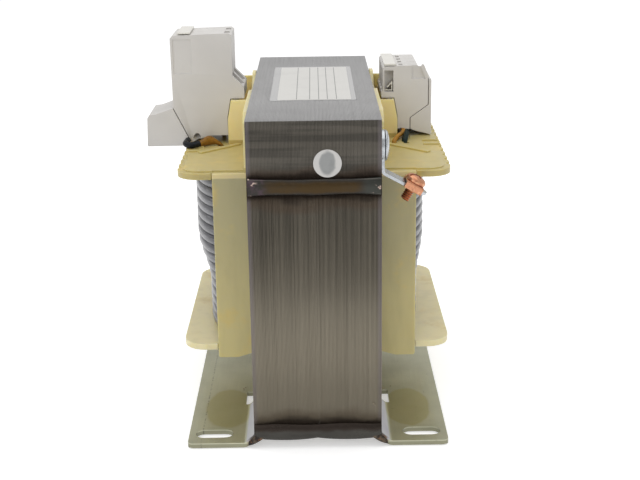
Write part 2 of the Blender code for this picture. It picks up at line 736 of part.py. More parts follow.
def join_plateau(shop, bobbin, side, front_y, margin):
    """Join the raised front field of the flange and the slanted ridge that bounds it."""
    tag = "left" if side == LEFT else "right"
    low = FLANGE_TOP_Z - FLANGE_THICKNESS / 2
    inner_x = GUIDE_OUTER_X - GUIDE_WALL_THICKNESS / 2
    outer_x = FLANGE_HALF_X - NOTCH_DEPTH - 0.0012
    slant_x, slant_y = RAIL_OUTER_X - 0.0026, front_y - margin
    end_x, end_y = outer_x - 0.0012, slant_y - (outer_x - 0.0012 - slant_x)
    radius = FLANGE_CORNER_RADIUS - (FLANGE_HALF_X - outer_x)
    corner_y = -(FLANGE_HALF_Y - 0.0022)
    rim = arc((outer_x - radius, corner_y + radius), radius, 0, -90, 5)
    field = [(inner_x, slant_y), (slant_x, slant_y), (end_x, end_y), (outer_x, end_y)] + rim
    field += [(WALL_HALF_WIDTH, corner_y), (WALL_HALF_WIDTH, corner_y + 0.0008)]
    field += [(inner_x, corner_y + 0.0008)]
    plateau = slab([mirrored(field, side)], "XY", low, FLANGE_TOP_Z + PLATEAU_HEIGHT)
    shop.join(bobbin, f"plateau_{tag}", plateau)
    line = [(slant_x - RIDGE_WIDTH, slant_y - RIDGE_WIDTH), (end_x - 0.003, end_y + 0.003 - 2 * RIDGE_WIDTH)]
    ridge = slab([mirrored(ribbon(line, RIDGE_WIDTH), side)], "XY", low, FLANGE_TOP_Z + RIDGE_HEIGHT)
    shop.join(bobbin, f"ridge_{tag}", ridge)


def join_wire_guides(shop, bobbin, side, front_y):
    """Join the short ribs between the wire notches, in front of the terminal block only."""
    tag = "left" if side == LEFT else "right"
    outer_x = FLANGE_HALF_X - WIRE_GUIDE_INSET
    ribs = []
    for centre in notch_centres():
        rib_y = centre + NOTCH_PITCH / 2
        if abs(rib_y - front_y + WIRE_GUIDE_RUN / 2) > WIRE_GUIDE_RUN / 2:
            continue
        half = WIRE_GUIDE_WIDTH / 2
        corner = (outer_x - WIRE_GUIDE_LENGTH, rib_y - half, FLANGE_TOP_Z - 0.0010)
        opposite = (outer_x, rib_y + half, FLANGE_TOP_Z + WIRE_GUIDE_HEIGHT)
        ribs.append(sided_box(side, corner, opposite))
    shop.join(bobbin, f"wire_guides_{tag}", joined(ribs))


def make_bobbin(shop):
    """Mould the bobbin: two flanges, the tube, the guide walls and the terminal rails."""
    window = rectangle(TUBE_INNER_X + TUBE_WALL / 2, TUBE_INNER_Y + TUBE_WALL / 2)
    top_loops = [flange_outline(notched=True), window] + lead_holes()
    upper = slab(top_loops, "XY", FLANGE_TOP_Z - FLANGE_THICKNESS, FLANGE_TOP_Z)
    bobbin = shop.piece("bobbin", upper, "bobbin_nylon")
    lower_top = BOBBIN_BOTTOM_Z + FLANGE_THICKNESS
    lower_loops = [flange_outline(notched=False), window]
    shop.join(bobbin, "lower_flange", slab(lower_loops, "XY", BOBBIN_BOTTOM_Z, lower_top))
    tube_loops = [rectangle(TUBE_OUTER_X, TUBE_OUTER_Y), rectangle(TUBE_INNER_X, TUBE_INNER_Y)]
    shop.join(bobbin, "tube", slab(tube_loops, "XY", BOBBIN_BOTTOM_Z, FLANGE_TOP_Z))
    for side, front_y, margin, rail_height in (
            (LEFT, RAIL_FRONT_LEFT_Y, SECONDARY_FIELD_MARGIN, SECONDARY_RAIL_HEIGHT),
            (RIGHT, RAIL_FRONT_RIGHT_Y, PRIMARY_FIELD_MARGIN, PRIMARY_RAIL_HEIGHT)):
        tag = "left" if side == LEFT else "right"
        faces = sorted((side * TUBE_INNER_X, side * GUIDE_OUTER_X))
        shop.join(bobbin, f"guide_wall_{tag}", slab([guide_wall_outline()], "YZ", *faces))
        join_plateau(shop, bobbin, side, front_y, margin)
        join_rail(shop, bobbin, side, front_y, rail_height)
        join_wire_guides(shop, bobbin, side, front_y)


def make_insulating_walls(shop):
    """Slide an insulating wall into each end of the bobbin."""
    half = WALL_HALF_WIDTH
    step_x = HALF_STACK + GAP * 2
    bottom = BOBBIN_BOTTOM_Z
    tab = YOKE_HEIGHT - WALL_TAB_DROP
    outline = [
        (-half, tab + 0.0006), (-half + 0.0006, tab), (-half + 0.008, tab),
        (-step_x, YOKE_HEIGHT - WALL_TAB_DROP / 3),
        (-step_x, bottom), (step_x, bottom), (step_x, YOKE_HEIGHT - WALL_TAB_DROP / 3),
        (half - 0.008, tab), (half - 0.0006, tab), (half, tab + 0.0006),
        (half, FLANGE_TOP_Z), (-half, FLANGE_TOP_Z)]
    for name, face in (("front", -1), ("rear", 1)):
        low, high = sorted((face * WALL_INNER_Y, face * WALL_OUTER_Y))
        shop.piece(f"{name}_insulating_wall", slab([outline], "XZ", low, high), "insulating_board")


# Windings

def sleeve_loops(inner_x, inner_y, build, radius):
    """Outlines of a winding layer wound tightly on what lies under it."""
    outer = rounded_rectangle(inner_x + build, inner_y + build, radius + build, CORNER_STEPS)
    return [outer, rounded_rectangle(inner_x, inner_y, radius, CORNER_STEPS)]


def oval_point(angle, half_x, half_y):
    """A point on the bulging outline of the outer winding."""
    power = 2.0 / WINDING_SQUARENESS
    x = math.copysign(abs(math.cos(angle)) ** power, math.cos(angle)) * half_x
    y = math.copysign(abs(math.sin(angle)) ** power, math.sin(angle)) * half_y
    return x, y


def side_reach(inner_x, upper_build, share):
    """How far the outer winding stands out at a share of its height."""
    blend = min(max((share - BULGE_START) / (BULGE_END - BULGE_START), 0.0), 1.0)
    eased = blend * blend * (3 - 2 * blend)
    return inner_x + SIDE_BUILD_LOWER + (upper_build - SIDE_BUILD_LOWER) * eased


def winding_rows():
    """Heights and groove depths that give each turn a round back."""
    height = WINDING_TOP_Z - WINDING_BOTTOM_Z
    turns = max(1, round(height / TURN_PITCH))
    pitch = height / turns
    rows = [(0.0, TURN_GROOVE)]
    for turn in range(turns):
        for share, groove in ((0.2, 0.35), (0.5, 0.0), (0.8, 0.35), (1.0, 1.0)):
            rows.append(((turn + share) * pitch / height, groove * TURN_GROOVE))
    return rows, height


def secondary_sections(inner_x, inner_y, inner_radius):
    """Upright sections of the outer winding, one for each direction round the tongue."""
    rows, height = winding_rows()
    outer_y = WALL_INNER_Y - GAP
    inner = rounded_rectangle(inner_x, inner_y, inner_radius, CORNER_STEPS)
    mid_sides = [(inner_x, 0.0), (0.0, inner_y), (-inner_x, 0.0), (0.0, -inner_y)]
    per_corner = CORNER_STEPS + 1
    ring = []
    for quarter in range(4):
        ring.append(mid_sides[quarter])
        ring += inner[quarter * per_corner:(quarter + 1) * per_corner]
    sections = []
    for index, (near_x, near_y) in enumerate(ring):
        angle = 2 * math.pi * index / len(ring)
        section = [(near_x, near_y, WINDING_BOTTOM_Z)]
        for share, groove in rows:
            upper = SIDE_BUILD_UPPER_RIGHT if math.cos(angle) > 0 else SIDE_BUILD_UPPER_LEFT
            half_x = side_reach(inner_x, upper, share) - groove
            x, y = oval_point(angle, half_x, outer_y - groove)
            section.append((x, y, WINDING_BOTTOM_Z + share * height))
        section.append((near_x, near_y, WINDING_TOP_Z))
        sections.append(section)
    return sections


def make_windings(shop):
    """Wind the primary, the insulation over it and the secondary with its round turns."""
    primary_x, primary_y = TUBE_OUTER_X + GAP, TUBE_OUTER_Y + GAP
    radius = 0.0005
    primary = slab(
        sleeve_loops(primary_x, primary_y, PRIMARY_BUILD, radius), "XY",
        WINDING_BOTTOM_Z, WINDING_TOP_Z)
    shop.piece("primary_winding", primary, "winding_enamel")
    paper_x = primary_x + PRIMARY_BUILD + GAP
    paper_y = primary_y + PRIMARY_BUILD + GAP
    paper_radius = radius + PRIMARY_BUILD + GAP
    paper = slab(
        sleeve_loops(paper_x, paper_y, INSULATION_BUILD, paper_radius), "XY",
        WINDING_BOTTOM_Z, WINDING_TOP_Z)
    shop.piece("interwinding_insulation", paper, "insulating_paper")
    outer_x = paper_x + INSULATION_BUILD + GAP
    outer_y = paper_y + INSULATION_BUILD + GAP
    outer_radius = paper_radius + INSULATION_BUILD + GAP
    sections = secondary_sections(outer_x, outer_y, outer_radius)
    shop.piece("secondary_winding", loft(sections, closed=True), "winding_enamel")


# Feet

def bracket_profile():
    """Section through the end of the right foot: a tongue raised to the core's edge, and the flange."""
    angle = math.radians(TONGUE_ANGLE)
    middle_radius = BEND_RADIUS + SHEET / 2
    flange_z = -FOOT_DROP + SHEET / 2
    tip = (HALF_STACK - TONGUE_OVERLAP, -GAP - SHEET / 2 * math.cos(angle))
    bend_end_z = flange_z + middle_radius * (1 - math.cos(angle))
    bend_end_x = tip[0] + (tip[1] - bend_end_z) / math.tan(angle)
    centre = (bend_end_x + middle_radius * math.sin(angle), flange_z + middle_radius)
    bend = arc(centre, middle_radius, 270 - TONGUE_ANGLE, 270, 4)
    outer_x = HALF_STACK + FOOT_REACH
    return ribbon([tip] + bend + [(outer_x, flange_z)], SHEET)


def slot_outline(centre_x, centre_y):
    """A slot with round ends that runs in X."""
    radius = SLOT_WIDTH / 2
    reach = SLOT_LENGTH / 2 - radius
    right = arc((centre_x + reach, centre_y), radius, -90, 90, 10)
    left = arc((centre_x - reach, centre_y), radius, 90, 270, 10)
    return right + left


def round_foot_corners(mesh, side):
    """Round the two outer corners of a foot's flange."""
    work = bmesh.new()
    work.from_mesh(mesh)
    outer_x = side * (HALF_STACK + FOOT_REACH)
    upright = [
        edge for edge in work.edges
        if all(abs(vert.co.x - outer_x) < GAP for vert in edge.verts)
        and abs(edge.verts[0].co.y - edge.verts[1].co.y) < GAP]
    bmesh.ops.bevel(
        work, geom=upright, offset=FOOT_CORNER_RADIUS, segments=4, profile=0.5,
        affect="EDGES", clamp_overlap=True)
    work.to_mesh(mesh)
    work.free()
    return mesh


def make_brackets(shop):
    """Bend the end tongues of the two feet, keep the middle flat, and cut the slots."""
    length = CORE_HALF_LENGTH
    low = -FOOT_DROP - SHEET
    top = SHEET - FOOT_DROP
    clear_x = HALF_STACK + RELIEF_REACH
    edge_x = HALF_STACK - MIDDLE_OVERLAP
    relief_y = MIDDLE_HALF_LENGTH + RELIEF_LENGTH
    for name, side in (("left", LEFT), ("right", RIGHT)):
        sheet = slab([mirrored(bracket_profile(), side)], "XZ", -length, length)
        bracket = shop.piece(f"mounting_bracket_{name}", round_foot_corners(sheet, side), "zinc_sheet")
        corner = (edge_x - SHEET, -relief_y, low)
        shop.cut(bracket, f"relief_{name}", sided_box(side, corner, (clear_x, relief_y, SHEET)))
        corner = (edge_x, -MIDDLE_HALF_LENGTH, -FOOT_DROP)
        middle = sided_box(side, corner, (clear_x + SHEET, MIDDLE_HALF_LENGTH, top))
        shop.join(bracket, f"middle_{name}", middle)
        slots = []
        for end in (-1, 1):
            centre_x = HALF_STACK + FOOT_REACH - SLOT_EDGE_INSET
            centre_y = length - SLOT_END_INSET
            outline = slot_outline(side * centre_x, end * centre_y)
            slots.append(slab([outline], "XY", low, top + SHEET))
        shop.cut(bracket, f"slots_{name}", joined(slots))


# Earth terminal

def turned(name, profile, steps):
    """Turn a profile about the local Z axis with a Screw modifier."""
    mesh = bpy.data.meshes.new(name)
    edges = [(index, index + 1) for index in range(len(profile) - 1)]
    mesh.from_pydata([(x, 0.0, z) for x, z in profile], edges, [])
    carrier = bpy.data.objects.new(name, mesh)
    bpy.context.scene.collection.objects.link(carrier)
    screw = carrier.modifiers.new("turn", "SCREW")
    screw.steps = screw.render_steps = steps
    screw.use_merge_vertices = True
    screw.merge_threshold = 0.00001
    depsgraph = bpy.context.evaluated_depsgraph_get()
    result = bpy.data.meshes.new_from_object(carrier.evaluated_get(depsgraph))
    bpy.data.objects.remove(carrier, do_unlink=True)
    weld_and_orient(result)
    result.shade_smooth()
    result.set_sharp_from_angle(angle=math.radians(35))
    return result


def tab_line():
    """Stations down the earth tab: place in XZ, direction and half width."""
    middle_x = TAB_INNER_X + TAB_SHEET / 2
    stations = []
    half_neck = TAB_WIDTH / 2
    neck_angle = 180 - math.degrees(math.asin(half_neck / TAB_EYE_RADIUS))
    for step in range(11):
        angle = math.radians(10 + (neck_angle - 10) * step / 10)
        z = EARTH_Z + TAB_EYE_RADIUS * math.cos(angle)
        stations.append((middle_x, z, TAB_EYE_RADIUS * math.sin(angle)))
    bend_z = EARTH_Z - TAB_BEND_DROP
    turn = math.pi / 2 - TAB_ANGLE
    centre_x = middle_x + TAB_BEND_RADIUS
    for step in range(7):
        angle = turn * step / 6
        x = centre_x - TAB_BEND_RADIUS * math.cos(angle)
        stations.append((x, bend_z - TAB_BEND_RADIUS * math.sin(angle), half_neck))
    start_x, start_z, _ = stations[-1]
    straight = TAB_ARM_LENGTH - half_neck
    for share in (1.0,):
        stations.append(tab_arm_point(start_x, start_z, straight * share) + (half_neck,))
    for step in range(1, 6):
        angle = math.radians(80) * step / 5
        place = tab_arm_point(start_x, start_z, straight + half_neck * math.sin(angle))
        stations.append(place + (half_neck * math.cos(angle),))
    return stations


def tab_arm_point(start_x, start_z, distance):
    """A point on the arm's middle line, a distance out from the bend."""
    return (start_x + distance * math.cos(TAB_ANGLE), start_z - distance * math.sin(TAB_ANGLE))


def bend_end():
    """Where the bend of the earth tab ends and its arm starts."""
    turn = math.pi / 2 - TAB_ANGLE
    middle_x = TAB_INNER_X + TAB_SHEET / 2
    x = middle_x + TAB_BEND_RADIUS * (1 - math.cos(turn))
    return x, EARTH_Z - TAB_BEND_DROP - TAB_BEND_RADIUS * math.sin(turn)


def make_earth_tab(shop, clamp):
    """Form the tab as an open strip with Solidify, and drill it for rivet and screw."""
    work = bmesh.new()
    pairs = []
    for x, z, half in tab_line():
        pairs.append([work.verts.new((x, EARTH_Y + half * sign, z)) for sign in (-1, 1)])
    for near, far in zip(pairs, pairs[1:]):
        work.faces.new((near[0], near[1], far[1], far[0]))
    mesh = bpy.data.meshes.new("earth_tab")
    work.to_mesh(mesh)
    work.free()
    tab = shop.piece("earth_tab", mesh, "bright_zinc")
    solid = tab.modifiers.new("sheet", "SOLIDIFY")
    solid.thickness = TAB_SHEET
    solid.offset = 0.0
    solid.use_even_offset = True
    hole = circle((EARTH_Y, EARTH_Z), CORNER_HOLE_DIAMETER / 2)
    shop.cut(tab, "rivet_hole", slab([hole], "YZ", HALF_STACK - SHEET, HALF_STACK + SHEET * 2))
    reach = TAB_SHEET
    bore = slab([circle((0.0, 0.0), SCREW_DIAMETER / 2 + GAP, 16)], "XY", -reach, reach)
    shop.cut(tab, "screw_hole", bore, clamp)


def make_rivet(shop):
    """Turn the domed rivet and lay it into the corner hole."""
    head = RIVET_HEAD_DIAMETER / 2
    shank = RIVET_SHANK_DIAMETER / 2
    profile = [
        (0.0, RIVET_HEAD_HEIGHT), (head * 0.55, RIVET_HEAD_HEIGHT * 0.92),
        (head * 0.88, RIVET_HEAD_HEIGHT * 0.60), (head, RIVET_HEAD_HEIGHT * 0.25),
        (head, 0.0), (shank, 0.0), (shank, -RIVET_DEPTH), (0.0, -RIVET_DEPTH)]
    rivet = shop.piece("earth_rivet", turned("earth_rivet", profile, 24), "bright_zinc")
    rivet.location = (TAB_INNER_X + TAB_SHEET + GAP, EARTH_Y, EARTH_Z)
    rivet.rotation_euler = (0.0, math.radians(90), 0.0)


def make_clamp_screw(shop, clamp):
    """Turn the earth screw and cut its cross recess."""
    base = TAB_SHEET / 2 + GAP + SADDLE_PLATE + GAP
    head, top = SCREW_HEAD_DIAMETER / 2, base + SCREW_HEAD_HEIGHT
    shank = SCREW_DIAMETER / 2
    tip = base - SCREW_LENGTH
    profile = [
        (0.0, top), (head * 0.45, top - SCREW_HEAD_HEIGHT * 0.05),
        (head * 0.80, top - SCREW_HEAD_HEIGHT * 0.26), (head, base + SCREW_HEAD_HEIGHT * 0.42),
        (head, base), (shank, base), (shank, tip + shank * 0.3), (shank * 0.75, tip), (0.0, tip)]
    screw = shop.piece("earth_screw", turned("earth_screw", profile, 24), "copper_plate", clamp)
    root, tip_width, length = RECESS_WIDTH / 2, RECESS_WIDTH * 0.35, RECESS_LENGTH / 2
    cross = []
    for quarter in range(4):
        turn = Matrix.Rotation(math.radians(90 * quarter), 2)
        for corner in ((length, -tip_width), (length, tip_width), (root, root)):
            cross.append(tuple(turn @ Vector(corner)))
    recess = slab([cross], "XY", top - RECESS_DEPTH, top + SCREW_HEAD_HEIGHT)
    shop.cut(screw, "cross_recess", recess, clamp)


def make_saddle(shop, clamp):
    """Form the square saddle washer: a plate with a lip down each side of the arm."""
    inner = TAB_WIDTH / 2 + GAP
    outer = inner + SADDLE_LIP
    low = TAB_SHEET / 2 + GAP
    high = low + SADDLE_PLATE
    foot = high - SADDLE_HEIGHT
    section = [
        (-outer, foot), (-inner, foot), (-inner, low), (inner, low), (inner, foot),
        (outer, foot), (outer, high - 0.0004), (outer - 0.0004, high), (-outer + 0.0004, high),
        (-outer, high - 0.0004)]
    half = SADDLE_LENGTH / 2
    saddle = shop.piece(
        "earth_clamp_washer", slab([section], "YZ", -half, half), "copper_plate", clamp)
    bore = slab([circle((0.0, 0.0), SCREW_DIAMETER / 2 + GAP, 16)], "XY", foot, high + SHEET)
    shop.cut(saddle, "saddle_hole", bore, clamp)


def make_earth_terminal(shop):
    """Build the earth tab, its rivet and the clamp screw, which share one slanted axis."""
    start_x, start_z = bend_end()
    x, z = tab_arm_point(start_x, start_z, SCREW_DISTANCE)
    clamp = shop.marker("earth_clamp_axis", (x, EARTH_Y, z), shop.stand)
    clamp.rotation_euler = (0.0, TAB_ANGLE, 0.0)
    make_earth_tab(shop, clamp)
    make_rivet(shop)
    make_clamp_screw(shop, clamp)
    make_saddle(shop, clamp)


# Terminal blocks

def pocket(side, corners, low_y, high_y):
    """A box-shaped cutter given beside the rail."""
    (low_u, low_v), (high_u, high_v) = corners
    near = (RAIL_OUTER_X + low_u, low_y, FLANGE_TOP_Z + low_v)
    far = (RAIL_OUTER_X + high_u, high_y, FLANGE_TOP_Z + high_v)
    return sided_box(side, near, far)


def body_outline(body, seam):
    """Close a housing's profile along its side of the seam."""
    return offset_line(seam, GAP / 2) + body


def cover_outline(cover, seam):
    """Close a cover's profile along the other side of the seam."""
    return offset_line(seam, -GAP / 2)[::-1] + cover


def lead_entry(name):
    """A channel round the end of a lead or sleeve, with clearance all round."""
    points, diameter, *_ = lead_routes()[name]
    route = smooth_route(points)
    route.append(route[-1] + (route[-1] - route[-2]).normalized() * GAP)
    return wire_mesh(route, diameter + 2 * GAP)


def make_poles(shop, block):
    """Mould the pole housings of a block, side by side, and the end plate behind them."""
    outline = block_outline(body_outline(block["body"], block["seam"]), block["side"])
    lug = block_outline(lug_outline(block["hook_foot"]), block["side"])
    pitch, side, name = block["pitch"], block["side"], block["name"]
    for pole in range(block["poles"]):
        front = block["front_y"] + pole * pitch
        rear = front + pitch - GAP
        wall = block["entry_wall"]
        housing = shop.piece(
            f"{name}_terminal_pole_{pole + 1}", slab([outline], "XZ", front, rear), "terminal_nylon")
        tag = f"{name}_{pole + 1}"
        shop.join(housing, f"lug_{tag}", slab([lug], "XZ", front + wall, rear - wall))
        entry = pocket(side, block["entry"], front + wall, rear - wall)
        shop.cut(housing, f"wire_entry_{tag}", entry)
        middle, half = (front + rear) / 2, pitch * TOOL_SLOT_SHARE / 2
        shop.cut(housing, f"tool_slot_{tag}", pocket(side, block["slot"], middle - half, middle + half))
        shop.cut(housing, f"lead_entry_{tag}", lead_entry(block["leads"][pole]))
        for groove in block["grooves"]:
            low_y, high_y = middle - PRIMARY_GROOVE_WIDTH / 2, middle + PRIMARY_GROOVE_WIDTH / 2
            shop.cut(housing, f"groove_{tag}", pocket(side, groove, low_y, high_y))
        if pole == 0:
            finish_front(shop, housing, block)
    plate_front = block["front_y"] + block["poles"] * pitch
    plate = slab([outline], "XZ", plate_front, plate_front + END_PLATE)
    shop.piece(f"{name}_terminal_end_plate", plate, "terminal_nylon")


def finish_front(shop, housing, block):
    """Add the fin at the front of a block, if it has one, and cut its shallow fields."""
    front, name = block["front_y"], block["name"]
    if block["fin"]:
        fin, fin_field = (block_outline(points, block["side"]) for points in block["fin"])
        shop.join(housing, f"fin_{name}", slab([fin], "XZ", front, front + FIN_DEPTH))
        cutter = slab([fin_field], "XZ", front - FIN_FIELD_DEPTH, front + FIN_FIELD_DEPTH)
        shop.cut(housing, f"fin_field_{name}", cutter)
    for index, (corners, depth) in enumerate(block["front_fields"]):
        field = pocket(block["side"], corners, front - depth, front + depth)
        shop.cut(housing, f"front_field_{name}_{index}", field)


def make_block_trim(shop, block):
    """Add the cover, the marker strip and the spring clamps of a block."""
    side, name, pitch = block["side"], block["name"], block["pitch"]
    front, length = block["front_y"], block["poles"] * block["pitch"]
    cover = block_outline(cover_outline(block["cover"], block["seam"]), side)
    cover_mesh = slab([cover], "XZ", front, front + length + END_PLATE)
    shop.piece(f"{name}_terminal_cover", cover_mesh, "terminal_nylon")
    marker = pocket(side, block["marker"], front + GAP, front + length - GAP)
    shop.piece(f"{name}_marker_strip", marker, "marker_card")
    profile = block_outline(ribbon(block["clamp"], CLAMP_STRIP), side)
    for pole in range(block["poles"]):
        low = front + pole * pitch + block["entry_wall"] + CLAMP_SIDE_CLEARANCE
        high = front + (pole + 1) * pitch - GAP - block["entry_wall"] - CLAMP_SIDE_CLEARANCE
        clamp_mesh = slab([profile], "XZ", low, high)
        shop.piece(f"{name}_terminal_clamp_{pole + 1}", clamp_mesh, "spring_steel")


def pole_middle(front_y, pitch, pole):
    """Middle of a pole housing along Y."""
    return front_y + pitch * (pole + 0.5)


def secondary_routes():
    """The thick leads: one turns outward into a sleeve, the other goes straight up."""
    start = FLANGE_TOP_Z - FLANGE_THICKNESS + GAP
    lift = FLANGE_TOP_Z + WIRE_GUIDE_HEIGHT + GAP + SECONDARY_SLEEVE / 2
    entry = FLANGE_TOP_Z + LEAD_ENTRY_HEIGHT
    x = -(RAIL_OUTER_X + SECONDARY_WIRE / 2 + SECONDARY_LEAD_CLEARANCE)
    front = SECONDARY_FRONT_Y - SECONDARY_LEAD_AHEAD
    joint_x = x - SECONDARY_SLEEVE_START
    turn_x = x - SECONDARY_SLEEVE_REACH
    rise = SECONDARY_WIRE / 4
    near = front - 2 * rise
    hump = FLANGE_TOP_Z + SECONDARY_WIRE / 2 * (1 + SECONDARY_WIRE_SWELL) + GAP
    wire = [
        (x, front, start), (x, front, FLANGE_TOP_Z + rise),
        (x - 3 * rise, front + rise / 2, hump), (x - 8 * rise, front + rise / 2, hump + rise),
        (joint_x + 2 * rise, near + rise / 2, lift), (joint_x, near, lift)]
    sleeve = [
        (joint_x - GAP, near, lift), (joint_x - SECONDARY_SLEEVE * 0.7, near - rise / 2, lift),
        (turn_x, near + rise, lift), (turn_x, front + SECONDARY_SLEEVE / 2, lift),
        (turn_x + SECONDARY_SLEEVE * 0.9, SECONDARY_FRONT_Y - GAP, lift),
        (turn_x + SECONDARY_SLEEVE, pole_middle(SECONDARY_FRONT_Y, SECONDARY_PITCH, 0), entry)]
    second = pole_middle(SECONDARY_FRONT_Y, SECONDARY_PITCH, 1)
    upright = [(x, second, start), (x, second, lift), (x, second, entry)]
    return {
        "secondary_lead_1": (wire, SECONDARY_WIRE, SECONDARY_WIRE_SWELL, "wire_enamel"),
        "secondary_sleeve": (sleeve, SECONDARY_SLEEVE, 0.0, "black_sleeve"),
        "secondary_lead_2": (upright, SECONDARY_WIRE, 0.0, "wire_enamel")}


def primary_routes():
    """The thin leads: a bare one, a sleeved one beneath the first pole, and two upright."""
    start = FLANGE_TOP_Z - FLANGE_THICKNESS + GAP
    lift = FLANGE_TOP_Z + PRIMARY_WIRE / 2 + 2 * GAP
    sleeve_lift = FLANGE_TOP_Z + PRIMARY_SLEEVE / 2 + 1.5 * GAP
    entry = FLANGE_TOP_Z + LEAD_ENTRY_HEIGHT
    middles = [pole_middle(PRIMARY_FRONT_Y, PRIMARY_PITCH, pole) for pole in range(PRIMARY_POLE_COUNT)]
    x = RAIL_OUTER_X + PRIMARY_WIRE / 2 + PRIMARY_LEAD_CLEARANCE
    rail_front = PRIMARY_FRONT_Y - RAIL_LEAD
    near = rail_front - PRIMARY_LEAD_AHEAD
    hole_x = x - RAIL_WALL * 1.6
    bare = [
        (hole_x, near, start), (hole_x, near, lift),
        (hole_x + RAIL_WALL / 2, near + PRIMARY_LEAD_AHEAD / 3, lift + PRIMARY_WIRE / 2),
        (x - GAP / 2, rail_front - PRIMARY_WIRE, lift + PRIMARY_WIRE / 2),
        (x, rail_front + RAIL_LEAD, lift + PRIMARY_WIRE / 2),
        (x, middles[0], lift + PRIMARY_WIRE), (x, middles[0], entry)]
    side_x = x + PRIMARY_WIRE / 2 + PRIMARY_SLEEVE / 2 + PRIMARY_LEAD_CLEARANCE
    foot_x = side_x - PRIMARY_SLEEVE / 2
    sleeve = [
        (foot_x, near, start), (foot_x, near, FLANGE_TOP_Z + GAP),
        (foot_x + GAP, near + PRIMARY_SLEEVE, sleeve_lift + GAP),
        (side_x, rail_front, sleeve_lift),
        (side_x, middles[0], sleeve_lift), (x + PRIMARY_SLEEVE / 4, middles[1] - PRIMARY_SLEEVE, sleeve_lift),
        (x + GAP, middles[1], entry)]
    routes = {
        "primary_lead_1": (bare, PRIMARY_WIRE, 0.0, "wire_enamel"),
        "primary_sleeve": (sleeve, PRIMARY_SLEEVE, 0.0, "black_sleeve")}
    for pole, middle in enumerate(middles[2:], start=3):
        upright = [(x, middle, start), (x, middle, lift), (x, middle, entry)]
        routes[f"primary_lead_{pole}"] = (upright, PRIMARY_WIRE, 0.0, "wire_enamel")
    return routes


def lead_routes():
    """Route, diameter, swell and material of every lead and sleeve."""
    return {**secondary_routes(), **primary_routes()}


def make_leads(shop):
    """Lay the lead-out wires and their sleeves."""
    for name, (points, diameter, swell, material) in lead_routes().items():
        shop.piece(name, wire_mesh(smooth_route(points), diameter, swell=swell), material)


def make_terminal_blocks(shop):
    """Clip the two-pole and the four-pole block to their rails."""
    secondary = {
        "name": "secondary", "side": LEFT, "front_y": SECONDARY_FRONT_Y,
        "pitch": SECONDARY_PITCH, "poles": SECONDARY_POLE_COUNT, "body": SECONDARY_BODY,
        "seam": SECONDARY_SEAM, "cover": SECONDARY_COVER, "entry": SECONDARY_ENTRY,
        "hook_foot": SECONDARY_HOOK_FOOT, "fin": None, "grooves": [],
        "entry_wall": SECONDARY_ENTRY_WALL, "slot": SECONDARY_TOOL_SLOT,
        "marker": SECONDARY_MARKER, "clamp": SECONDARY_CLAMP,
        "leads": ["secondary_sleeve", "secondary_lead_2"],
        "front_fields": [(SECONDARY_LABEL_FIELD, 0.0003)]}
    primary = {
        "name": "primary", "side": RIGHT, "front_y": PRIMARY_FRONT_Y,
        "pitch": PRIMARY_PITCH, "poles": PRIMARY_POLE_COUNT, "body": PRIMARY_BODY,
        "seam": PRIMARY_SEAM, "cover": PRIMARY_COVER, "entry": PRIMARY_ENTRY,
        "hook_foot": PRIMARY_HOOK_FOOT, "fin": (PRIMARY_FIN, PRIMARY_FIN_FIELD),
        "grooves": [PRIMARY_TOP_GROOVE],
        "entry_wall": PRIMARY_ENTRY_WALL, "slot": PRIMARY_TOOL_SLOT,
        "marker": PRIMARY_MARKER, "clamp": PRIMARY_CLAMP,
        "leads": ["primary_lead_1", "primary_sleeve", "primary_lead_3", "primary_lead_4"],
        "front_fields": [(PRIMARY_WINDOW, PRIMARY_ENTRY_WALL * 1.5)]}
    for block in (secondary, primary):
        make_poles(shop, block)
        make_block_trim(shop, block)


def make_labels(shop):
    """Stick the bare label film on the yoke and the bare round sticker on its front."""
    half_x, half_y = LABEL_WIDTH / 2, LABEL_LENGTH / 2
    base = CORE_TOP_Z + GAP
    outline = [(x, y + LABEL_CENTRE_Y) for x, y in rounded_rectangle(half_x, half_y, 0.001, 3)]
    shop.piece("rating_label", slab([outline], "XY", base, base + LABEL_THICKNESS), "label_film")
    front = CORE_HALF_LENGTH + GAP
    centre = (STICKER_CENTRE_X, JOINT_Z + STICKER_ABOVE_JOINT)
    disc = slab([circle(centre, STICKER_DIAMETER / 2, 32)], "XZ", -front - LABEL_THICKNESS, -front)
    shop.piece("inspection_sticker", disc, "silver_foil")


def main():
    """Build the transformer."""
    clear_scene()
    shop = Workshop()
    make_core(shop)
    make_welds(shop)
    make_bobbin(shop)
    make_insulating_walls(shop)
    make_windings(shop)
    make_brackets(shop)
    make_earth_terminal(shop)
    make_terminal_blocks(shop)
    make_leads(shop)
    make_labels(shop)


main()
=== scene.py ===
"""Dresses the mains transformer: sheet stack, welds, moulded bobbin, winding, terminals and feet.

Everything is in metres in the model's own frame. X runs across the lamination stack, Y along the
core and Z up from the underside of the feet.
"""
import math

import bmesh
import bpy
from mathutils import Matrix, Vector


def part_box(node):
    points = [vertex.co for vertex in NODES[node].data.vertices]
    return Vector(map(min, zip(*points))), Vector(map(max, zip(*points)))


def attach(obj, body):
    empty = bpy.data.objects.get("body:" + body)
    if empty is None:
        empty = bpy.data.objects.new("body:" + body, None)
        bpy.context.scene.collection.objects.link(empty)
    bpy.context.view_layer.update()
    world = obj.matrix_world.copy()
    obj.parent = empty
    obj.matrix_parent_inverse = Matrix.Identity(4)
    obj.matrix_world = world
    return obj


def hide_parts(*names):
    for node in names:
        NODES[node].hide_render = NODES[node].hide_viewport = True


bl_info = {
    "name": "Mains transformer",
    "version": (1, 0, 0),
    "blender": (4, 5, 0),
    "location": "View3D > Sidebar > Transformer",
    "description": "Dresses the solid model of a mains transformer with sheets, turns and finishes",
    "category": "Object",
}

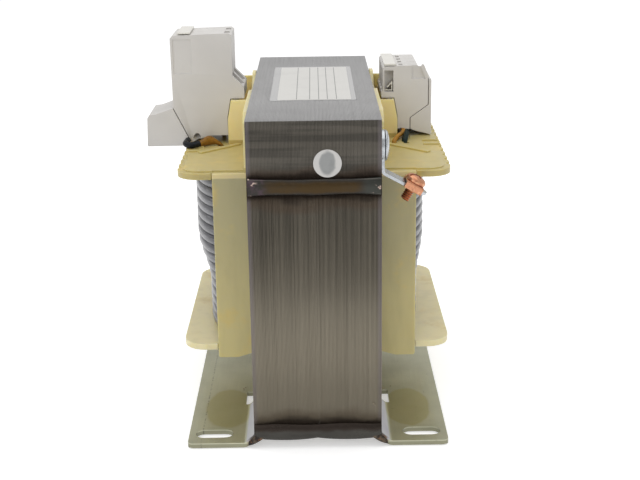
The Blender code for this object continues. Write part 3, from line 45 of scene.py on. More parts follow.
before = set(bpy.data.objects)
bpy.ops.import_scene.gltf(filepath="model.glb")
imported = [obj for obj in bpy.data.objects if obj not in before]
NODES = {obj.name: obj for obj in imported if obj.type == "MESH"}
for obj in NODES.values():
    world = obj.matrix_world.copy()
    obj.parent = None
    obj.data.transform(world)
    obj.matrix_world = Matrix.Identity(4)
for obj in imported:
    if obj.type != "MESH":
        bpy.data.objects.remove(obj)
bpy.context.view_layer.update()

CORE_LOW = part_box("e_core_left")[0]
CORE_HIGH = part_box("i_core_right")[1]
CORE_MIDDLE_X = (CORE_LOW.x + CORE_HIGH.x) / 2
JOINT_Z = (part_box("e_core_left")[1].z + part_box("i_core_left")[0].z) / 2
FLANGE_TOP_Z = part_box("rear_insulating_wall")[1].z
WINDING_LOW, WINDING_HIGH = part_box("secondary_winding")

# Sheet of the feet, the plane of their tops and how deep a weld sits in the core
FOOT_SHEET = 0.0020
FOOT_TOP_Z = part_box("mounting_bracket_left")[0].z + FOOT_SHEET
WELD_SINK = 0.0002

# The winding's plan: how square it is, how its sides arch and how far its corners reach
WINDING_POWER = 0.34
WINDING_ARCH = 1.9
WINDING_CORNER_X = 0.0415

# Shares of the winding's height between which it widens
BULGE_START = 0.28
BULGE_END = 0.58

# The earth screw's shank, thread and lean, and how far the screw is moved
SHANK_RADIUS = 0.00142
THREAD_LENGTH = 0.0052
THREAD_PITCH = 0.00085
SCREW_LEAN = 30.5
SCREW_SHIFT = Vector((-0.0007, 0.0, 0.0010))

# Half the width of a rule on the label, and how far each film lies above the core
RULE_HALF_WIDTH = 0.00013
FILM_RISE = 0.00008
PAPER_RISE = 0.00018
RULES_RISE = 0.00022


def tone(red, green, blue):
    """A colour given as it looks on a screen, 0 to 255, in linear light."""
    values = [channel / 255 for channel in (red, green, blue)]
    linear = [v / 12.92 if v <= 0.04045 else ((v + 0.055) / 1.055) ** 2.4 for v in values]
    return (*linear, 1.0)


# Settings that a user may change

def length(name, description, default):
    """A length setting in metres."""
    return bpy.props.FloatProperty(
        name=name, description=description, default=default, min=0.0, precision=5,
        unit="LENGTH", subtype="DISTANCE")


def swatch(name, description, default):
    """A colour setting."""
    return bpy.props.FloatVectorProperty(
        name=name, description=description, default=default, size=4, min=0.0, max=1.0,
        subtype="COLOR")


class CoreSettings(bpy.types.PropertyGroup):
    """Sizes and colours of the lamination stack and its welds."""

    sheet_pitch: length("Sheet pitch", "Distance from one lamination to the next", 0.0005)
    sheet_gap: length("Sheet gap", "Air between two laminations", 0.000012)
    sheet_play: length("Sheet play", "How far a lamination lies out of line", 0.00003)
    tongue_width: length("Tongue width", "Width of the middle leg", 0.050)
    leg_width: length("Leg width", "Width of an outer leg and height of a yoke", 0.025)
    hole_diameter: length("Hole diameter", "Corner holes of the laminations", 0.0075)
    hole_inset: length("Hole inset", "Corner hole to the edge of the core", 0.0125)
    steel: swatch("Steel", "Varnished cut edges of the laminations", tone(101, 95, 83))
    steel_dark: swatch("Dark steel", "Darker sheets between", tone(75, 70, 60))
    top_film: swatch("Top film", "Pale film of varnish on the top", tone(164, 163, 163))
    scorch: swatch("Scorch", "Heat tint beside the welds", tone(42, 32, 25))
    weld: swatch("Weld", "Weld bead", tone(68, 66, 62))
    weld_tint: swatch("Weld tint", "Straw colour in the middle of a bead", tone(64, 48, 22))


class MouldingSettings(bpy.types.PropertyGroup):
    """Colours and edge radii of the moulded pieces."""

    edge: length("Edge radius", "Small radius on moulded edges", 0.00025)
    bobbin: swatch("Bobbin", "Natural nylon of the bobbin", tone(240, 228, 182))
    # Painted shade: the darker, deeper tone of the bobbin's upper part.
    bobbin_upper_shade: swatch("Deep bobbin", "Nylon where varnish has gathered", tone(190, 175, 116))
    wall: swatch("Insulating wall", "Thin moulded wall", tone(180, 172, 130))
    wall_deep: swatch("Deep wall", "Wall with varnish on it", tone(206, 194, 136))
    terminal: swatch("Terminal", "Terminal housings", tone(211, 208, 204))
    marker: swatch("Marker", "Blank marker strips", tone(228, 225, 217))


class WindingSettings(bpy.types.PropertyGroup):
    """Sizes and colours of the winding and its leads."""

    turns: bpy.props.IntProperty(
        name="Turns", description="Visible turns in the outer layer", default=16, min=1)
    strand_depth: length("Strand depth", "Thickness of a turn", 0.0025)
    low_left: length("Low left step", "How much narrower the winding is low on the left", 0.0056)
    low_right: length("Low right step", "How much narrower the winding is low on the right", 0.0034)
    enamel: swatch("Enamel", "Wrapped turns of the winding", tone(90, 90, 95))
    amber: swatch("Amber", "Enamelled leads", tone(146, 104, 38))
    sleeve: swatch("Sleeve", "Insulating sleeves", tone(10, 16, 24))


class MetalSettings(bpy.types.PropertyGroup):
    """Colours of the plated metal pieces."""

    zinc: swatch("Zinc", "Passivated zinc of the feet", tone(196, 196, 172))
    zinc_stain: swatch("Zinc stain", "Yellowed zinc near the welds", tone(168, 161, 106))
    # Painted reflection of the raised tongues.
    tongue: swatch("Tongue", "Bare bright zinc of the raised tongues", tone(206, 206, 214))
    bright: swatch("Bright zinc", "Earth tab and rivet", tone(196, 200, 204))
    copper: swatch("Copper", "Earth screw and saddle washer", tone(205, 144, 110))
    thread: swatch("Thread", "Copper of the screw thread", tone(196, 112, 64))


class StageSettings(bpy.types.PropertyGroup):
    """The camera and the lights."""

    lens: bpy.props.FloatProperty(
        name="Lens", description="Focal length in millimetres", default=69.11, min=1.0)
    world: bpy.props.FloatProperty(
        name="World", description="Strength of the light from all round", default=0.66, min=0.0)
    top_light: bpy.props.FloatProperty(
        name="Top light", description="Power of the large light overhead", default=3.0, min=0.0)
    front_light: bpy.props.FloatProperty(
        name="Front light", description="Power of the light beside the camera", default=1.2, min=0.0)
    floor: swatch("Floor", "Colour of the floor", (0.86, 0.86, 0.86, 1.0))


# Materials

NOISE_ROUGHNESS = 0.55


class Nodes:
    """Adds nodes to a tree and links them."""

    def __init__(self, tree):
        self.tree = tree

    def add(self, kind, settings=None, **inputs):
        """Add a node, with its settings and inputs."""
        node = self.tree.nodes.new(kind)
        for name, value in (settings or {}).items():
            setattr(node, name, value)
        for name, value in inputs.items():
            self.plug(node.inputs[name.replace("_", " ")], value)
        return node

    def plug(self, socket, value):
        """Link an output to a socket, or set the socket's value."""
        if isinstance(value, bpy.types.NodeSocket):
            self.tree.links.new(value, socket)
        else:
            socket.default_value = value

    def maths(self, operation, *values):
        """One step of arithmetic."""
        node = self.add("ShaderNodeMath", {"operation": operation})
        for socket, value in zip(node.inputs, values):
            self.plug(socket, value)
        return node.outputs[0]

    def product(self, *values):
        """Multiply values, from the first to the last."""
        result = values[0]
        for value in values[1:]:
            result = self.maths("MULTIPLY", result, value)
        return result

    def total(self, first, second):
        """Add two values."""
        return self.maths("ADD", first, second)

    def less(self, first, second):
        """Take the second value from the first."""
        return self.maths("SUBTRACT", first, second)

    def size(self, value):
        """A value without its sign."""
        return self.maths("ABSOLUTE", value)


class Finish(Nodes):
    """A material made of nodes that read the piece's own coordinates."""

    def __init__(self, name, roughness, metallic=0.0):
        self.material = bpy.data.materials.new(name)
        self.material.use_nodes = True
        super().__init__(self.material.node_tree)
        self.shader = self.tree.nodes["Principled BSDF"]
        self.level("Roughness", roughness)
        self.level("Metallic", metallic)
        self.place = self.add("ShaderNodeTexCoord").outputs["Object"]
        self.axes = self.add("ShaderNodeSeparateXYZ", Vector=self.place).outputs

    def level(self, name, value):
        """Set or link one input of the shader."""
        self.plug(self.shader.inputs[name], value)

    def noise(self, size, detail=3.0, stretch=(1.0, 1.0, 1.0)):
        """Noise with features of about this size in metres, drawn out along an axis."""
        scale = tuple(1.0 / factor for factor in stretch)
        spread = self.add("ShaderNodeMapping", Vector=self.place, Scale=scale).outputs[0]
        node = self.add(
            "ShaderNodeTexNoise", Vector=spread, Scale=1.0 / size, Detail=detail,
            Roughness=NOISE_ROUGHNESS)
        return node.outputs["Fac"]

    def span(self, value, low, high, to_low=0.0, to_high=1.0):
        """Turn a range of a value into another, eased at both ends."""
        node = self.add("ShaderNodeMapRange", {"interpolation_type": "SMOOTHSTEP"}, Value=value)
        for name, number in (
                ("From Min", low), ("From Max", high), ("To Min", to_low), ("To Max", to_high)):
            node.inputs[name].default_value = number
        return node.outputs[0]

    def blend(self, factor, first, second, kind="MIX"):
        """Mix two colours."""
        node = self.add("ShaderNodeMix", {"data_type": "RGBA", "blend_type": kind})
        self.plug(node.inputs["Factor"], factor)
        self.plug(node.inputs["A"], first)
        self.plug(node.inputs["B"], second)
        return node.outputs["Result"]

    def shade(self, colour, factor, depth):
        """Darken a colour by a factor's share of a depth."""
        level = self.less(1.0, self.product(factor, depth))
        grey = self.add("ShaderNodeCombineColor", Red=level, Green=level, Blue=level).outputs[0]
        return self.blend(1.0, colour, grey, "MULTIPLY")

    def spots(self, size, detail, low, high, *ends):
        """Patches of noise between two levels."""
        return self.span(self.noise(size, detail), low, high, *ends)

    def coat(self, weight, roughness):
        """Add a clear coat."""
        self.level("Coat Weight", weight)
        self.level("Coat Roughness", roughness)

    def coloured(self, colour):
        """Set the colour and return the finished material."""
        self.level("Base Color", colour)
        return self.material

    def away(self, first, second):
        """How far two values lie apart."""
        return self.size(self.less(first, second))

    def drift(self, noise, reach):
        """Noise turned into a shift to both sides."""
        return self.product(self.less(noise, 0.5), reach)

    def tint(self, colour, mask, strength, other):
        """Mix another colour into a colour where the mask lies."""
        return self.blend(self.product(mask, strength), colour, other)

    def sheen(self, value, share, base):
        """Set the roughness to a base with a share of a value."""
        self.level("Roughness", self.total(self.product(value, share), base))

    def bump(self, height, distance, strength=0.6):
        """Raise the surface by a height pattern."""
        node = self.add("ShaderNodeBump", Height=height, Distance=distance, Strength=strength)
        self.level("Normal", node.outputs[0])


def lamination_finish(core):
    """Cut steel edges: a tone for each sheet, streaks, varnish and heat tint by the welds, with a
    painted floor reflection that lightens them towards the bottom and a painted highlight along their
    side edges.
    """
    finish = Finish("varnished_laminations", 0.42, 0.55)
    across, along, height = finish.axes
    sheet = finish.maths("FLOOR", finish.maths("DIVIDE", across, core.sheet_pitch))
    own_tone = finish.add("ShaderNodeTexWhiteNoise", {"noise_dimensions": "1D"}, W=sheet).outputs[0]
    streaks = finish.noise(0.0008, 4.0, (1.0, 55.0, 55.0))
    broad = finish.noise(0.0042, 2.0, (1.0, 30.0, 30.0))
    mixed = finish.total(
        finish.product(own_tone, 0.26),
        finish.total(finish.product(streaks, 0.44), finish.product(broad, 0.3)))
    colour = finish.blend(finish.span(mixed, 0.3, 0.66), core.steel_dark, core.steel)
    clouds = finish.noise(0.022, 4.0, (1.5, 1.0, 1.0))
    colour = finish.shade(colour, finish.span(clouds, 0.35, 0.72), 0.14)
    runs = finish.noise(0.003, 3.0, (1.0, 1.0, 14.0))
    colour = finish.shade(colour, finish.span(runs, 0.5, 0.78), 0.12)
    # Painted reflection of the floor: the cut edges grow lighter towards the bottom.
    sheen = finish.span(height, JOINT_Z - 0.012, CORE_LOW.z + 0.004, 0.0, 0.8)
    colour = finish.blend(sheen, colour, tone(158, 149, 130))
    bands = finish.noise(0.0034, 3.0, (26.0, 1.0, 1.0))
    end_face = finish.span(finish.size(along), CORE_HIGH.y - 0.004, CORE_HIGH.y)
    on_yoke = finish.product(finish.span(height, JOINT_Z, JOINT_Z + 0.004), end_face)
    calm = finish.blend(finish.span(clouds, 0.3, 0.7), tone(100, 95, 87), tone(84, 80, 73))
    colour = finish.tint(colour, on_yoke, 0.75, calm)
    colour = finish.shade(colour, finish.product(finish.span(bands, 0.44, 0.58), on_yoke), 0.36)
    drift = finish.drift(finish.noise(0.0085, 2.5, (1.7, 1.0, 1.0)), 0.0085)
    level = finish.total(height, drift)
    above = finish.span(level, JOINT_Z + 0.0032, JOINT_Z + 0.0066, 1.0, 0.0)
    below = finish.span(level, JOINT_Z - 0.0032, JOINT_Z - 0.006, 1.0, 0.0)
    by_joint = finish.product(above, below)
    by_base = finish.span(level, CORE_LOW.z + 0.0044, CORE_LOW.z + 0.0074, 1.0, 0.0)
    heat = finish.product(finish.maths("MAXIMUM", by_joint, by_base), end_face)
    from_joint = finish.away(level, JOINT_Z - 0.001)
    straw = finish.span(from_joint, 0.0062, 0.0098, 1.0, 0.0)
    low_straw = finish.span(level, CORE_LOW.z + 0.007, CORE_LOW.z + 0.0112, 1.0, 0.0)
    straw = finish.product(finish.maths("MAXIMUM", straw, low_straw), end_face)
    colour = finish.tint(colour, straw, 0.42, tone(84, 62, 44))
    colour = finish.tint(colour, heat, 0.86, core.scorch)
    # Painted highlight along the side edges of the end faces, away from the heat tint.
    from_side = finish.away(across, CORE_MIDDLE_X)
    painted_edge_highlight = finish.span(
        from_side, CORE_HIGH.x - CORE_MIDDLE_X - 0.002, CORE_HIGH.x - CORE_MIDDLE_X - 0.0008)
    painted_edge_highlight = finish.product(painted_edge_highlight, end_face, finish.less(1.0, heat))
    colour = finish.tint(colour, painted_edge_highlight, 0.42, tone(128, 120, 124))
    top = finish.span(height, CORE_HIGH.z - 0.0004, CORE_HIGH.z - 0.0001)
    film = finish.shade(core.top_film, finish.span(streaks, 0.4, 0.75), 0.1)
    film = finish.shade(film, finish.spots(0.016, 4.0, 0.4, 0.75), 0.07)
    colour = finish.tint(colour, top, 0.94, film)
    finish.level("Metallic", finish.less(0.55, finish.product(top, 0.45)))
    finish.sheen(streaks, 0.18, 0.34)
    finish.coat(0.1, 0.25)
    finish.bump(finish.total(own_tone, streaks), 0.00004, 0.25)
    return finish.coloured(colour)


def weld_finish(core):
    """A dark glassy weld bead: straw at its middle, violet and grey ends, painted highlights along its
    thin rims.
    """
    finish = Finish("weld_bead", 0.26, 0.7)
    across = finish.less(finish.axes[0], CORE_MIDDLE_X)
    spread = finish.size(across)
    clouds = finish.noise(0.006, 4.0, (2.4, 1.0, 1.0))
    at_joint = finish.span(finish.axes[2], JOINT_Z - 0.01, JOINT_Z - 0.005)
    from_middle = finish.away(finish.axes[2], JOINT_Z)
    drift = finish.drift(finish.noise(0.007), 0.0022)
    belt = finish.span(finish.total(from_middle, drift), 0.0013, 0.0029, 1.0, 0.0)
    middle = finish.span(finish.total(spread, drift), 0.0145, 0.0205, 1.0, 0.0)
    straw = finish.product(middle, belt, at_joint)
    colour = finish.shade(core.weld, finish.span(clouds, 0.38, 0.68), 0.35)
    colour = finish.tint(colour, at_joint, 0.62, tone(42, 38, 35))
    colour = finish.blend(
        finish.product(straw, finish.span(clouds, 0.2, 0.55, 0.55, 1.0)), colour, core.weld_tint)
    left_end = finish.product(finish.span(across, -0.0165, -0.02), at_joint)
    violet = finish.product(left_end, finish.spots(0.0017, 3.0, 0.44, 0.62))
    colour = finish.tint(colour, violet, 0.7, tone(74, 58, 66))
    right_end = finish.product(finish.span(across, 0.0165, 0.02), at_joint)
    colour = finish.tint(colour, right_end, 0.6, tone(60, 63, 58))
    scorched = finish.product(
        finish.less(1.0, at_joint),
        finish.span(finish.total(finish.axes[2], drift), CORE_LOW.z + 0.0008, CORE_LOW.z + 0.0026))
    colour = finish.tint(colour, scorched, 0.88, core.scorch)
    # Painted highlight along the bead's thin rims.
    rim = finish.product(
        finish.span(from_middle, 0.0027, 0.00285), finish.span(from_middle, 0.003, 0.00315, 1.0, 0.0))
    rim = finish.product(rim, finish.span(clouds, 0.3, 0.6))
    colour = finish.tint(colour, rim, 0.34, tone(122, 116, 110))
    ends = finish.product(finish.span(spread, 0.0205, 0.0225), at_joint)
    glint = finish.product(finish.spots(0.0019, 2.0, 0.6, 0.68), ends)
    colour = finish.tint(colour, glint, 0.75, tone(204, 180, 168))
    finish.sheen(clouds, 0.26, 0.18)
    finish.bump(finish.noise(0.003, 3.0), 0.0003, 0.5)
    return finish.coloured(colour)


def nylon_finish(name, upper, lower, bottom, top, band):
    """Natural nylon, slightly cloudy, with one tone low down, another above and a pale band."""
    finish = Finish(name, 0.4)
    clouds = finish.noise(0.016, 3.0)
    runs = finish.noise(0.005, 3.0, (1.0, 1.0, 5.0))
    rise = finish.total(finish.axes[2], finish.drift(clouds, 0.03))
    # One tone low down blends into another above; on the bobbin the darker tone above is painted shade.
    colour = finish.blend(finish.span(rise, bottom, top), lower, upper)
    colour = finish.shade(colour, finish.span(runs, 0.42, 0.75), 0.07)
    amber = finish.spots(0.011, 3.0, 0.54, 0.74)
    colour = finish.tint(colour, amber, 0.45, tone(216, 190, 108))
    # A pale band above a level, outside the core's legs: on the bobbin's guide walls it is painted
    # light, on the insulating walls a paler strip along their top.
    band_low, band_high, pale, strength = band
    rise = finish.product(
        finish.span(finish.axes[2], band_low - 0.0003, band_low + 0.0003),
        finish.span(finish.axes[2], band_high, band_high + 0.0006, strength, 0.0))
    outside = finish.span(finish.away(finish.axes[0], CORE_MIDDLE_X), 0.025, 0.0256)
    colour = finish.blend(finish.product(rise, outside), colour, pale)
    finish.sheen(clouds, 0.18, 0.3)
    finish.level("Subsurface Weight", 0.45)
    finish.level("Subsurface Radius", (0.9, 0.76, 0.36))
    finish.level("Subsurface Scale", 0.0036)
    finish.coat(0.12, 0.2)
    finish.bump(finish.noise(0.0018, 3.0), 0.00004, 0.4)
    return finish.coloured(colour)


def terminal_finish(colour):
    """Fine spark-eroded texture of a light grey terminal housing."""
    finish = Finish("terminal_grey", 0.46)
    clouds = finish.noise(0.014, 2.0)
    surface = finish.shade(colour, finish.span(clouds, 0.35, 0.75), 0.045)
    finish.sheen(clouds, 0.1, 0.4)
    finish.bump(finish.noise(0.00035, 3.0), 0.00002, 0.35)
    return finish.coloured(surface)


def enamel_finish(name, colour, roughness, line_size):
    """Resin-coated turns with pale streaks that are painted highlights."""
    finish = Finish(name, roughness)
    clouds = finish.noise(0.012, 3.0, (1.0, 2.5, 1.0))
    fine = finish.noise(line_size, 3.0, (6.0, 6.0, 1.0))
    surface = finish.shade(colour, finish.span(clouds, 0.35, 0.7), 0.35)
    # Painted highlights: thin pale streaks along the turns.
    pale = finish.product(finish.span(fine, 0.52, 0.7), 0.34)
    surface = finish.blend(pale, surface, tone(176, 175, 180))
    finish.coat(0.3, 0.22)
    finish.sheen(clouds, 0.2, roughness - 0.1)
    finish.bump(fine, 0.00005, 0.4)
    return finish.coloured(surface)


def zinc_finish(metal):
    """Passivated zinc sheet: cloudy, rolled along its length, stained by the welds, with painted dark
    reflections on the faces below its top and a painted bright reflection on the raised tongues.
    """
    finish = Finish("passivated_zinc", 0.36, 0.82)
    clouds = finish.noise(0.026, 4.0)
    grain = finish.noise(0.0007, 3.0, (1.0, 22.0, 1.0))
    surface = finish.shade(metal.zinc, finish.span(clouds, 0.35, 0.72), 0.16)
    surface = finish.shade(surface, grain, 0.12)
    # Painted reflection: the faces below the top plane, its edges and slot walls, are darkened to
    # olive.
    edges = finish.span(finish.axes[2], FOOT_TOP_Z - 0.0003, FOOT_TOP_Z - 0.0006)
    surface = finish.tint(surface, edges, 0.62, tone(108, 106, 82))
    along = finish.size(finish.axes[1])
    across = finish.away(finish.axes[0], CORE_MIDDLE_X)
    reach_y = finish.maths("DIVIDE", finish.less(along, 0.043), 0.019)
    reach_x = finish.maths("DIVIDE", finish.less(across, 0.037), 0.0098)
    radius = finish.maths(
        "SQRT", finish.total(finish.product(reach_y, reach_y), finish.product(reach_x, reach_x)))
    stain = finish.span(finish.total(radius, finish.drift(clouds, 0.7)), 0.9, 1.04, 1.0, 0.0)
    surface = finish.tint(surface, stain, 0.62, metal.zinc_stain)
    scratch = finish.span(
        finish.away(finish.axes[0], CORE_MIDDLE_X - 0.0461), 0.00012, 0.00038, 1.0, 0.0)
    scratch = finish.product(scratch, finish.spots(0.0011, 2.0, 0.46, 0.56))
    surface = finish.shade(surface, scratch, 0.42)
    # Painted reflection: the raised tongues take a bright lavender-grey tone, with lilac patches.
    on_tongue = finish.product(
        finish.span(finish.axes[2], FOOT_TOP_Z + 0.0002, FOOT_TOP_Z + 0.0007),
        finish.span(along, 0.0395, 0.0405))
    surface = finish.tint(surface, on_tongue, 0.85, metal.tongue)
    lilac_reflection = finish.span(finish.noise(0.01, 2.0, (1.0, 2.0, 1.0)), 0.42, 0.66)
    surface = finish.tint(surface, finish.product(lilac_reflection, on_tongue), 0.3, tone(178, 172, 190))
    at_tip = finish.span(
        finish.total(along, finish.product(clouds, 0.0012)), CORE_HIGH.y - 0.0004, CORE_HIGH.y + 0.0002)
    near_core = finish.span(across, 0.0285, 0.0262)
    low_side = finish.span(
        finish.total(finish.axes[2], finish.product(across, 0.9)), 0.0262, 0.0274, 1.0, 0.0)
    burnt = finish.product(finish.maths("MAXIMUM", at_tip, low_side), near_core)
    surface = finish.tint(surface, burnt, 0.88, tone(58, 48, 38))
    rusty = finish.product(burnt, finish.spots(0.0016, 2.0, 0.52, 0.62))
    surface = finish.tint(surface, rusty, 0.65, tone(142, 100, 66))
    specks = finish.spots(0.0014, 2.0, 0.7, 0.78)
    surface = finish.shade(surface, specks, 0.3)
    finish.sheen(clouds, 0.22, 0.25)
    finish.bump(finish.total(grain, clouds), 0.00003, 0.3)
    return finish.coloured(surface)


def plated_finish(name, colour, roughness, grain_size):
    """Bright plated metal with fine scratches and cloudy patches of painted reflection."""
    finish = Finish(name, roughness, 0.95)
    clouds = finish.noise(0.004, 3.0)
    scratches = finish.noise(grain_size, 4.0, (1.0, 9.0, 1.0))
    # Painted reflection: cloudy darker patches.
    surface = finish.shade(colour, finish.span(clouds, 0.35, 0.75), 0.2)
    surface = finish.shade(surface, finish.span(scratches, 0.45, 0.8), 0.18)
    finish.sheen(scratches, 0.2, roughness - 0.08)
    finish.bump(scratches, 0.00003, 0.35)
    return finish.coloured(surface)


def copper_finish(colour):
    """Copper plate with light and dark patches of painted reflection."""
    finish = Finish("copper_plate", 0.27, 0.72)
    # Painted reflection: dark patches stand for surroundings mirrored in the copper.
    patches = finish.noise(0.0021, 3.0)
    surface = finish.blend(finish.span(patches, 0.3, 0.5), tone(178, 118, 90), colour)
    # Painted highlights in light spots.
    light = finish.spots(0.0016, 3.0, 0.56, 0.68)
    surface = finish.tint(surface, light, 0.55, tone(236, 186, 144))
    finish.sheen(patches, 0.24, 0.16)
    finish.bump(patches, 0.00005, 0.4)
    return finish.coloured(surface)


def thread_finish(colour, axis, pitch):
    """Copper of a thread, with painted shade in the grooves between its ridges."""
    finish = Finish("thread_copper", 0.3, 0.8)
    along = finish.add("ShaderNodeVectorMath", {"operation": "DOT_PRODUCT"}, Vector=finish.place)
    along.inputs[1].default_value = axis
    phase = finish.maths("FRACT", finish.maths("DIVIDE", along.outputs["Value"], pitch))
    ridge = finish.away(phase, 0.5)
    # Painted shade in the grooves.
    surface = finish.blend(finish.span(ridge, 0.14, 0.34), colour, tone(96, 44, 20))
    finish.bump(finish.noise(0.0006, 2.0), 0.00003, 0.3)
    return finish.coloured(surface)


def wire_finish(name, colour, roughness):
    """Enamelled wire or sleeve with a soft sheen and slight mottling."""
    finish = Finish(name, roughness)
    mottled = finish.noise(0.0018, 3.0)
    finish.level("Specular IOR Level", 0.22)
    finish.coat(0.06, 0.16)
    finish.bump(mottled, 0.00006, 0.4)
    return finish.coloured(finish.shade(colour, finish.span(mottled, 0.35, 0.7), 0.3))


def film_finish(name, colour, roughness):
    """Smooth film or paper with slight creases."""
    finish = Finish(name, roughness)
    creases = finish.noise(0.011, 4.0)
    finish.coat(0.3, 0.15)
    finish.bump(creases, 0.00012, 0.3)
    return finish.coloured(finish.shade(colour, finish.span(creases, 0.45, 0.8), 0.07))


def foil_finish():
    """Round film sticker: a pale rim and a soft grey window that runs up its middle."""
    low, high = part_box("inspection_sticker")
    centre = (low + high) / 2
    finish = Finish("silver_foil", 0.34, 0.2)
    side = finish.maths("DIVIDE", finish.less(finish.axes[0], centre.x), 0.0029)
    rise = finish.maths("DIVIDE", finish.less(finish.axes[2], centre.z), 0.0045)
    wrinkles = finish.noise(0.0028, 4.0)
    reach = finish.total(
        finish.total(finish.product(side, side), finish.product(rise, rise)),
        finish.drift(wrinkles, 1.1))
    window = finish.span(reach, 0.72, 1.3, 1.0, 0.0)
    surface = finish.tint(tone(200, 198, 195), window, 0.85, tone(136, 138, 138))
    surface = finish.shade(surface, finish.span(wrinkles, 0.45, 0.75), 0.1)
    finish.bump(wrinkles, 0.0001, 0.35)
    return finish.coloured(surface)


# Meshes

def new_object(name, data):
    """Link a mesh, curve, light or camera to the scene under a name."""
    data.name = name
    item = bpy.data.objects.new(name, data)
    bpy.context.scene.collection.objects.link(item)
    return item


def settled(item):
    """Turn an object with modifiers into a plain mesh under the same name."""
    name = item.name
    depsgraph = bpy.context.evaluated_depsgraph_get()
    mesh = bpy.data.meshes.new_from_object(item.evaluated_get(depsgraph))
    old = item.data
    bpy.data.objects.remove(item, do_unlink=True)
    if isinstance(old, bpy.types.Curve):
        bpy.data.curves.remove(old)
    return new_object(name, mesh)


def smooth(mesh, degrees):
    """Shade a mesh smooth, with edges sharper than an angle kept crisp."""
    mesh.shade_smooth()
    mesh.set_sharp_from_angle(angle=math.radians(degrees))
    return mesh


def written(work, mesh):
    """Write a working mesh into a mesh and free it."""
    work.to_mesh(mesh)
    work.free()
    return mesh


def around(steps):
    """The cosine and sine of even steps round a circle."""
    angles = [2 * math.pi * step / steps for step in range(steps)]
    return [(math.cos(angle), math.sin(angle)) for angle in angles]


def drawn_out(value, power):
    """A cosine or sine drawn out towards a rectangle with round corners."""
    return math.copysign(abs(value) ** power, value)


def share_between(value, low, high):
    """How far a value has come from one level to another, kept between 0 and 1."""
    return min(max((value - low) / (high - low), 0.0), 1.0)


def dress(item, material, slot_name, *nodes):
    """Give a piece its finish and let it stand for the CAD nodes that it replaces."""
    item.data.materials.clear()
    item.data.materials.append(material)
    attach(item, "root")
    if nodes:
        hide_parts(*nodes)
    return item


def merged_copy(node):
    """A working copy of a CAD node with its triangles joined into flat faces."""
    work = bmesh.new()
    work.from_mesh(NODES[node].data)
    bmesh.ops.remove_doubles(work, verts=work.verts, dist=2e-6)
    bmesh.ops.dissolve_degenerate(work, edges=work.edges, dist=2e-6)
    bmesh.ops.dissolve_limit(
        work, angle_limit=math.radians(0.4), verts=work.verts, edges=work.edges)
    return work


def softened(node, name, radius, segments=2, degrees=30.0):
    """A copy of a CAD node with small radii on its sharp edges."""
    work = merged_copy(node)
    item = new_object(name, smooth(written(work, bpy.data.meshes.new(name)), degrees))
    rounding = item.modifiers.new("edges", "BEVEL")
    rounding.width = radius
    rounding.segments = segments
    rounding.limit_method = "ANGLE"
    rounding.angle_limit = math.radians(degrees)
    rounding.harden_normals = True
    return settled(item)


def flat_shape(name, loops, thickness, bevel=0.0):
    """A flat outline with holes, thickened about its own plane."""
    curve = bpy.data.curves.new(name, "CURVE")
    curve.dimensions = "2D"
    curve.fill_mode = "BOTH"
    curve.extrude = thickness / 2 - bevel
    curve.bevel_depth = bevel
    curve.bevel_resolution = 1
    curve.offset = -bevel
    for loop in loops:
        spline = curve.splines.new("POLY")
        spline.points.add(len(loop) - 1)
        for point, (u, v) in zip(spline.points, loop):
            point.co = (u, v, 0.0, 1.0)
        spline.use_cyclic_u = True
    item = settled(new_object(name, curve))
    work = bmesh.new()
    work.from_mesh(item.data)
    bmesh.ops.remove_doubles(work, verts=work.verts, dist=1e-6)
    bmesh.ops.recalc_face_normals(work, faces=work.faces)
    written(work, item.data)
    return item


def moulded(node, name, radius, material, slot_name, degrees=30.0):
    """A softened copy of a CAD node in its finish, standing for that node."""
    return dress(softened(node, name, radius, degrees=degrees), material, slot_name, node)


def circle(centre, radius, steps):
    """Points round a circle."""
    return [(centre[0] + radius * u, centre[1] + radius * v) for u, v in around(steps)]


def rounded_rectangle(low, high, radius, steps=5):
    """A rectangle between two corners, with round corners."""
    points = []
    (left, bottom), (right, top) = low, high
    corners = [(right, top, 0), (left, top, 90), (left, bottom, 180), (right, bottom, 270)]
    for u, v, start in corners:
        centre_u = u - math.copysign(radius, u - (low[0] + high[0]) / 2)
        centre_v = v - math.copysign(radius, v - (low[1] + high[1]) / 2)
        for step in range(steps + 1):
            angle = math.radians(start + 90 * step / steps)
            points.append((centre_u + radius * math.cos(angle), centre_v + radius * math.sin(angle)))
    return points


def skin(name, rings):
    """A closed mesh over equal rings of points, with a face at each end."""
    rows, count = len(rings), len(rings[0])
    points = [tuple(point) for ring in rings for point in ring]
    faces = []
    for row in range(rows - 1):
        for spot in range(count):
            after = (spot + 1) % count
            faces.append((
                row * count + spot, row * count + after,
                (row + 1) * count + after, (row + 1) * count + spot))
    faces.append(tuple(range(count))[::-1])
    faces.append(tuple((rows - 1) * count + spot for spot in range(count)))
    mesh = bpy.data.meshes.new(name)
    mesh.from_pydata(points, [], faces)
    work = bmesh.new()
    work.from_mesh(mesh)
    bmesh.ops.recalc_face_normals(work, faces=work.faces)
    return written(work, mesh)


# Geometry Nodes

SOCKETS = {
    float: "NodeSocketFloat", int: "NodeSocketInt", "object": "NodeSocketObject",
    "material": "NodeSocketMaterial"}


